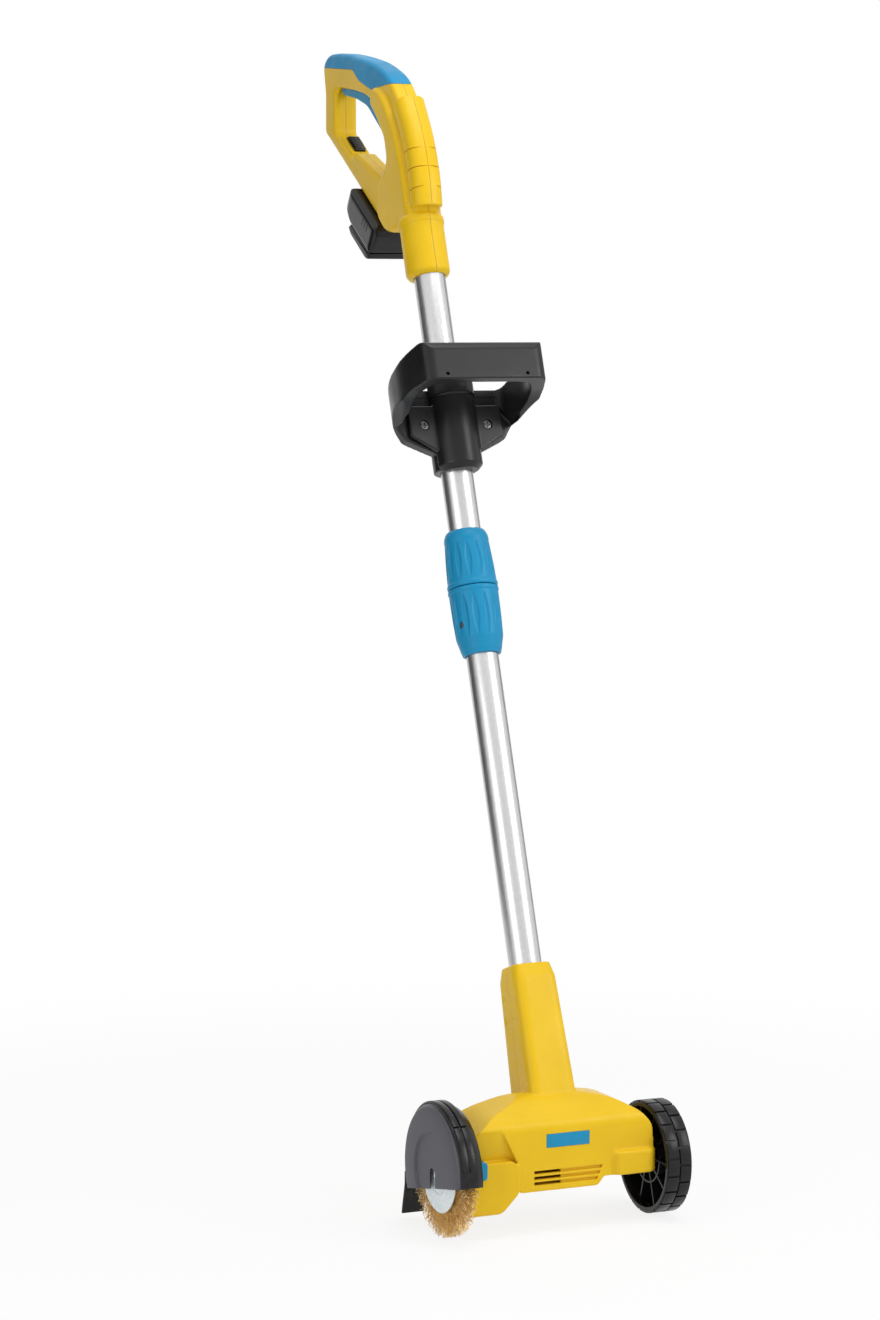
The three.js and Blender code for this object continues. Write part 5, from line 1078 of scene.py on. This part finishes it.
def handle_solid():
    """Loop with its opening, the wider body, the spine, the collar round the tube and the slide's bezel."""
    half, edge = HANDLE_HALF, HANDLE_EDGE
    solid = slab("handle", handle_curve(loop_shares), -half, half, edge, "x", "pole", segments=6)
    cut(solid, flared("opening", handle_curve(opening_shares), half, 2.4, "pole"))
    add(solid, slab("body", handle_curve(body_shares), -BODY_HALF, BODY_HALF, edge, "x", "pole", segments=6))
    add(solid, spine_solid(), collar_solid())
    centre = (0, COLLAR_SHIFT)
    nape = rod("nape", COLLAR - 0.8, COLLAR_TOP - 2, COLLAR_TOP + 14, "z", centre, "pole", 96, 2.5)
    add(solid, meet(nape, box("back", [-30, -30, 850], [30, -7, 950], "pole")))
    bezel = rounded_box([-SLIDE_HALF - 4, SLIDE_LOW - 4], [SLIDE_HALF + 4, SLIDE_HIGH + 7], 2, 5)
    return add(solid, slab("bezel", bezel, -17.0, -11.4, 0.8, "y", "strut"))


handle = melted(handle_solid(), 0.95, 5)
grip = copy_of(handle, "grip")
meet(grip, slab("region", handle_curve(grip_shares), -FAR, FAR, 0, "x", "pole"))
cut(handle, slab("region_low", handle_curve(grip_shares) - [0, GAP], -FAR, FAR, 0, "x", "pole"))
slot_half = TRIGGER_HALF + TRIGGER_PLAY
slot_cutter = slab("trigger_slot", handle_curve(slot_shares), -slot_half, slot_half, 0, "x", "pole")
combined(grip, slot_cutter, "DIFFERENCE", keep=True)
cut(handle, slot_cutter)
cut(handle, box("slide_way", [-SLIDE_HALF - 0.4, -27, SLIDE_LOW - 0.5],
                [SLIDE_HALF + 0.4, -7.6, SLIDE_HIGH + 3.5], "strut"))
tube_head = UPPER_FOOT + UPPER_LENGTH
cut(handle, rod("tube_way", TUBE + GAP, FOOT - OVERRUN, tube_head + 1, "z", (0, 0), "pole", 96))
cut(handle, box("dock_way", [-7.9, -7.4, 7.6], [7.9, 4, 58.4], "strut"))
for share in GROOVE_SHARES:
    level = FOOT + share * RISE
    groove = box("groove", [-17, -36, level - GROOVE_HALF], [17, -15, level + GROOVE_HALF], "pole")
    core = [[0, level - 2], [13.9, level - 2], [13.9, level + 2], [0, level + 2]]
    cut(handle, cut(groove, turned_profile("groove_core", core, "z", "pole", 64, centre=(0, -17.2))))
for reach_share, rise_share, half in HANDLE_SCREWS:
    centre = (reach_share * HANDLE_REACH, FOOT + rise_share * RISE)
    cut(handle, rod("screw_well", 3.6, half - 3, half + 6, "x", centre, "pole", 40))
handle_left = copy_of(handle, "left")
meet(handle, box("right_half", [GAP / 2, -300, 700], [60, 400, 1300], "pole"))
meet(handle_left, box("left_half", [-60, -300, 700], [-GAP / 2, 400, 1300], "pole"))
finished(handle, "handle_right", "upper", yellow, ["handle_right_shell"])
finished(handle_left, "handle_left", "upper", yellow, ["handle_left_shell"])
finished(grip, "grip_cover", "upper", soft_blue, ["soft_grip"])

trigger = slab("trigger", handle_curve(trigger_shares), -TRIGGER_HALF, TRIGGER_HALF, 0, "x", "pole")
trigger = melted(trigger, 0.5, 8)
finished(trigger, "finger_trigger", "trigger", blue, ["trigger"])

rib_level = np.linspace(SLIDE_LOW, SLIDE_HIGH, 169)
rib_share = (rib_level - SLIDE_LOW) / (SLIDE_HIGH - SLIDE_LOW)
rib_height = SLIDE_FACE + RIB_HEIGHT * np.cos(rib_share * 2 * math.pi * SLIDE_RIBS)
slide_curve = np.vstack([np.column_stack([rib_height, rib_level]), [[-8, SLIDE_HIGH], [-8, SLIDE_LOW]]])
slide = slab("slide", slide_curve, -SLIDE_HALF, SLIDE_HALF, 0.5, "x", "strut", 50)
finished(slide, "ribbed_slide", "slide", gloss_black, ["lock_slide"], 50)

# BATTERY, in the strut's frame: Z along the strut, Y away from it
CASE_WIDE, CASE_NEAR, CASE_DEEP = 20.5, 0.9, 31.0
PLATE_WIDE, PLATE_NEAR, PLATE_DEEP = 19.5, 31.35, 40.35
CELL, CELL_FOOT, CELL_HEAD, CELL_X, CELL_DEPTH = 9.0, 8.0, 56.0, 9.18, 30.4
LATCH_HALF, LATCH_NEAR, LATCH_DEEP = 8.0, 6.0, 12.0
SIDE_RIB_LEVELS = (20, 26, 32)


def battery_solid():
    """The case: its side view met with its plan and its front view."""
    side = eased([
        [CASE_NEAR, 7, 3], [CASE_NEAR, 77, 4], [8, 83, 7], [22, 78, 12], [CASE_DEEP, 60, 12],
        [CASE_DEEP, 4, 1.5], [10.3, 2.6, 5]])
    plan = eased([
        [-CASE_WIDE, CASE_NEAR, 9], [-CASE_WIDE, CASE_DEEP, 3],
        [CASE_WIDE, CASE_DEEP, 3], [CASE_WIDE, CASE_NEAR, 9]])
    front = eased([[-CASE_WIDE, 3, 6], [CASE_WIDE, 3, 6], [CASE_WIDE, 84, 15], [-CASE_WIDE, 84, 15]])
    case = slab("case", side, -CASE_WIDE, CASE_WIDE, 0, "x", "strut")
    return meet(case, slab("case_plan", plan, 0, 90, 0, "z", "strut"),
                slab("case_front", front, -5, 40, 0, "y", "strut"))


battery = melted(battery_solid(), 0.8, 20)
rail_curve = np.array([[-5.9, -0.4], [-8.4, 3.8], [8.4, 3.8], [5.9, -0.4]])
cut(battery, slab("rail", rail_curve, -2, 59, 0, "z", "strut"))
cut(battery, box("latch_way", [-LATCH_HALF - 0.4, LATCH_NEAR - 0.4, 69],
                 [LATCH_HALF + 0.4, LATCH_DEEP + 0.4, 90], "strut"))
for level in SIDE_RIB_LEVELS:
    for middle in (-CASE_WIDE - 0.1, CASE_WIDE + 0.1):
        cut(battery, box("side_rib", [middle - 0.5, 8, level], [middle + 0.5, 16, level + 1.2], "strut"))
finished(battery, "battery_cover", "battery", gloss_black, ["battery_case"])
plate_curve = eased([
    [PLATE_NEAR, 4, 0.8], [PLATE_NEAR, 59, 1.5], [36.6, 62.6, 1.5], [PLATE_DEEP, 55, 4],
    [PLATE_DEEP, 10, 4], [36.8, 4, 1.5]])
battery_plate = slab("battery_plate", plate_curve, -PLATE_WIDE, PLATE_WIDE, 1.8, "x", "strut", segments=5)
finished(battery_plate, "battery_bottom", "battery", black, ["battery_base"])
# The two outer cells are shorter here than in the CAD, so that the case and its plate hide them
for side_sign, node in ((-1, "battery_cell_2"), (1, "battery_cell_3")):
    centre = (side_sign * CELL_X, CELL_DEPTH)
    cell = rod("cell", CELL, CELL_FOOT, CELL_HEAD, "z", centre, "strut", 48, 0.6)
    finished(cell, node + "_short", "battery", black_steel, [node])
latch_curve = rounded_box([-LATCH_HALF, LATCH_NEAR], [LATCH_HALF, LATCH_DEEP], 1.2, 5)
latch = slab("latch", latch_curve, 73.35, 79, 0.8, "z", "strut")
finished(latch, "battery_button", "latch", blue, ["battery_latch"])


# SETTING, in metres
FLOOR_RADIUS, FLOOR_SIDES = 16.0, 64
# The distances from the middle between which the floor turns white, and how white it is at each
FLOOR_FADE = (0.35, 1.1, 0.84, 1.0)
WORLD_LEVEL = 0.45
LENS, SENSOR, CLIP_END = 97.745, 36, 60
CAMERA_PLACE = np.array([-1373.587, -2828.431, 807.081])
CAMERA_PITCH, CAMERA_TURN = math.radians(90 - 5.49), math.radians(-24.06)


def backdrop_rays(tree):
    """One for camera, glossy and transmission rays, nought for the rest, from the Light Path node."""
    ray = tree.nodes.new("ShaderNodeLightPath")
    total = ray.outputs["Is Camera Ray"]
    for kind in ("Is Glossy Ray", "Is Transmission Ray"):
        node = tree.nodes.new("ShaderNodeMath")
        node.operation = "MAXIMUM"
        tree.links.new(total, node.inputs[0])
        tree.links.new(ray.outputs[kind], node.inputs[1])
        total = node.outputs[0]
    return total


def pale_floor():
    """A wide disc of floor: plain pale paint round the object, which runs out to even white further off."""
    material = bpy.data.materials.new("pale_floor")
    material.use_nodes = True
    tree = material.node_tree
    paint = tree.nodes["Principled BSDF"]
    paint.inputs["Base Color"].default_value = (0.94, 0.94, 0.94, 1)
    paint.inputs["Roughness"].default_value = 0.9
    paint.inputs["Specular IOR Level"].default_value = 0.1
    even = tree.nodes.new("ShaderNodeEmission")
    where = tree.nodes.new("ShaderNodeTexCoord")
    length = tree.nodes.new("ShaderNodeVectorMath")
    length.operation = "LENGTH"
    fade = tree.nodes.new("ShaderNodeMapRange")
    fade.interpolation_type = "SMOOTHSTEP"
    for socket, value in zip(("From Min", "From Max", "To Min", "To Max"), FLOOR_FADE):
        fade.inputs[socket].default_value = value
    share = tree.nodes.new("ShaderNodeMath")
    share.operation = "MULTIPLY"
    mix = tree.nodes.new("ShaderNodeMixShader")
    tree.links.new(where.outputs["Object"], length.inputs[0])
    tree.links.new(length.outputs["Value"], fade.inputs["Value"])
    tree.links.new(fade.outputs["Result"], share.inputs[0])
    tree.links.new(backdrop_rays(tree), share.inputs[1])
    tree.links.new(share.outputs[0], mix.inputs[0])
    tree.links.new(paint.outputs[0], mix.inputs[1])
    tree.links.new(even.outputs[0], mix.inputs[2])
    tree.links.new(mix.outputs[0], tree.nodes["Material Output"].inputs["Surface"])
    mesh = bpy.data.meshes.new("floor")
    angle = np.linspace(0, 2 * math.pi, FLOOR_SIDES, endpoint=False)
    points = FLOOR_RADIUS * np.column_stack([np.cos(angle), np.sin(angle), np.zeros(FLOOR_SIDES)])
    mesh.from_pydata(points.tolist(), [], [list(range(FLOOR_SIDES))])
    mesh.materials.append(material)
    obj = bpy.data.objects.new("floor", mesh)
    bpy.context.scene.collection.objects.link(obj)
    return obj


def dark_card(name, middle, width, height, turn):
    """An upright dark card outside the picture; the tubes and black pieces get their dark edges from it."""
    material = bpy.data.materials.new(name)
    material.use_nodes = True
    paint = material.node_tree.nodes["Principled BSDF"]
    paint.inputs["Base Color"].default_value = (0.03, 0.03, 0.03, 1)
    c, s = math.cos(turn), math.sin(turn)
    corners = [(middle[0] + c * a * width / 2, middle[1] + s * a * width / 2, middle[2] + b * height / 2)
               for a, b in ((-1, -1), (1, -1), (1, 1), (-1, 1))]
    mesh = bpy.data.meshes.new(name)
    mesh.from_pydata(corners, [], [(0, 1, 2, 3)])
    mesh.materials.append(material)
    obj = bpy.data.objects.new(name, mesh)
    obj.visible_camera = False
    obj.visible_shadow = False
    bpy.context.scene.collection.objects.link(obj)
    return obj


pale_floor()
dark_card("left_card", (-1.3, 0.9, 0.7), 1.6, 1.7, math.radians(55))
dark_card("right_card", (1.5, 0.65, 0.7), 0.5, 1.5, math.radians(-65))

world = bpy.data.worlds.new("studio")
bpy.context.scene.world = world
world.use_nodes = True
tree = world.node_tree
background = tree.nodes["Background"]
background.inputs["Color"].default_value = (1, 1, 1, 1)
background.inputs["Strength"].default_value = WORLD_LEVEL
seen = tree.nodes.new("ShaderNodeBackground")
seen.inputs["Color"].default_value = (1, 1, 1, 1)
seen.inputs["Strength"].default_value = 1.0
choice = tree.nodes.new("ShaderNodeMixShader")
tree.links.new(backdrop_rays(tree), choice.inputs[0])
tree.links.new(background.outputs[0], choice.inputs[1])
tree.links.new(seen.outputs[0], choice.inputs[2])
tree.links.new(choice.outputs[0], tree.nodes["World Output"].inputs["Surface"])


def lamp(name, place, target, size, power):
    """A square soft light that faces a point."""
    data = bpy.data.lights.new(name, "AREA")
    data.size = size
    data.energy = power
    obj = bpy.data.objects.new(name, data)
    obj.location = place
    x, y, z = np.array(target, float) - np.array(place, float)
    obj.rotation_euler = (math.acos(-z / math.hypot(x, y, z)), 0, math.atan2(y, x) - math.pi / 2)
    bpy.context.scene.collection.objects.link(obj)
    return obj


lamp("top_light", (0.2, -0.8, 3.3), (0, 0, 0.4), 1.8, 42)
lamp("key_light", (1.9, -2.3, 1.9), (0, 0, 0.5), 1.3, 30)
lamp("low_light", (-2.6, -1.4, 1.0), (0, 0, 0.5), 1.4, 15)

camera_data = bpy.data.cameras.new("camera")
camera = bpy.data.objects.new("camera", camera_data)
bpy.context.scene.collection.objects.link(camera)
camera_data.lens = LENS
camera_data.sensor_width = SENSOR
camera_data.clip_end = CLIP_END
camera.location = (CAMERA_PLACE + SHIFT) / 1000
camera.rotation_euler = (CAMERA_PITCH, 0, CAMERA_TURN)
bpy.context.scene.camera = camera
bpy.context.scene.view_settings.view_transform = "Standard"
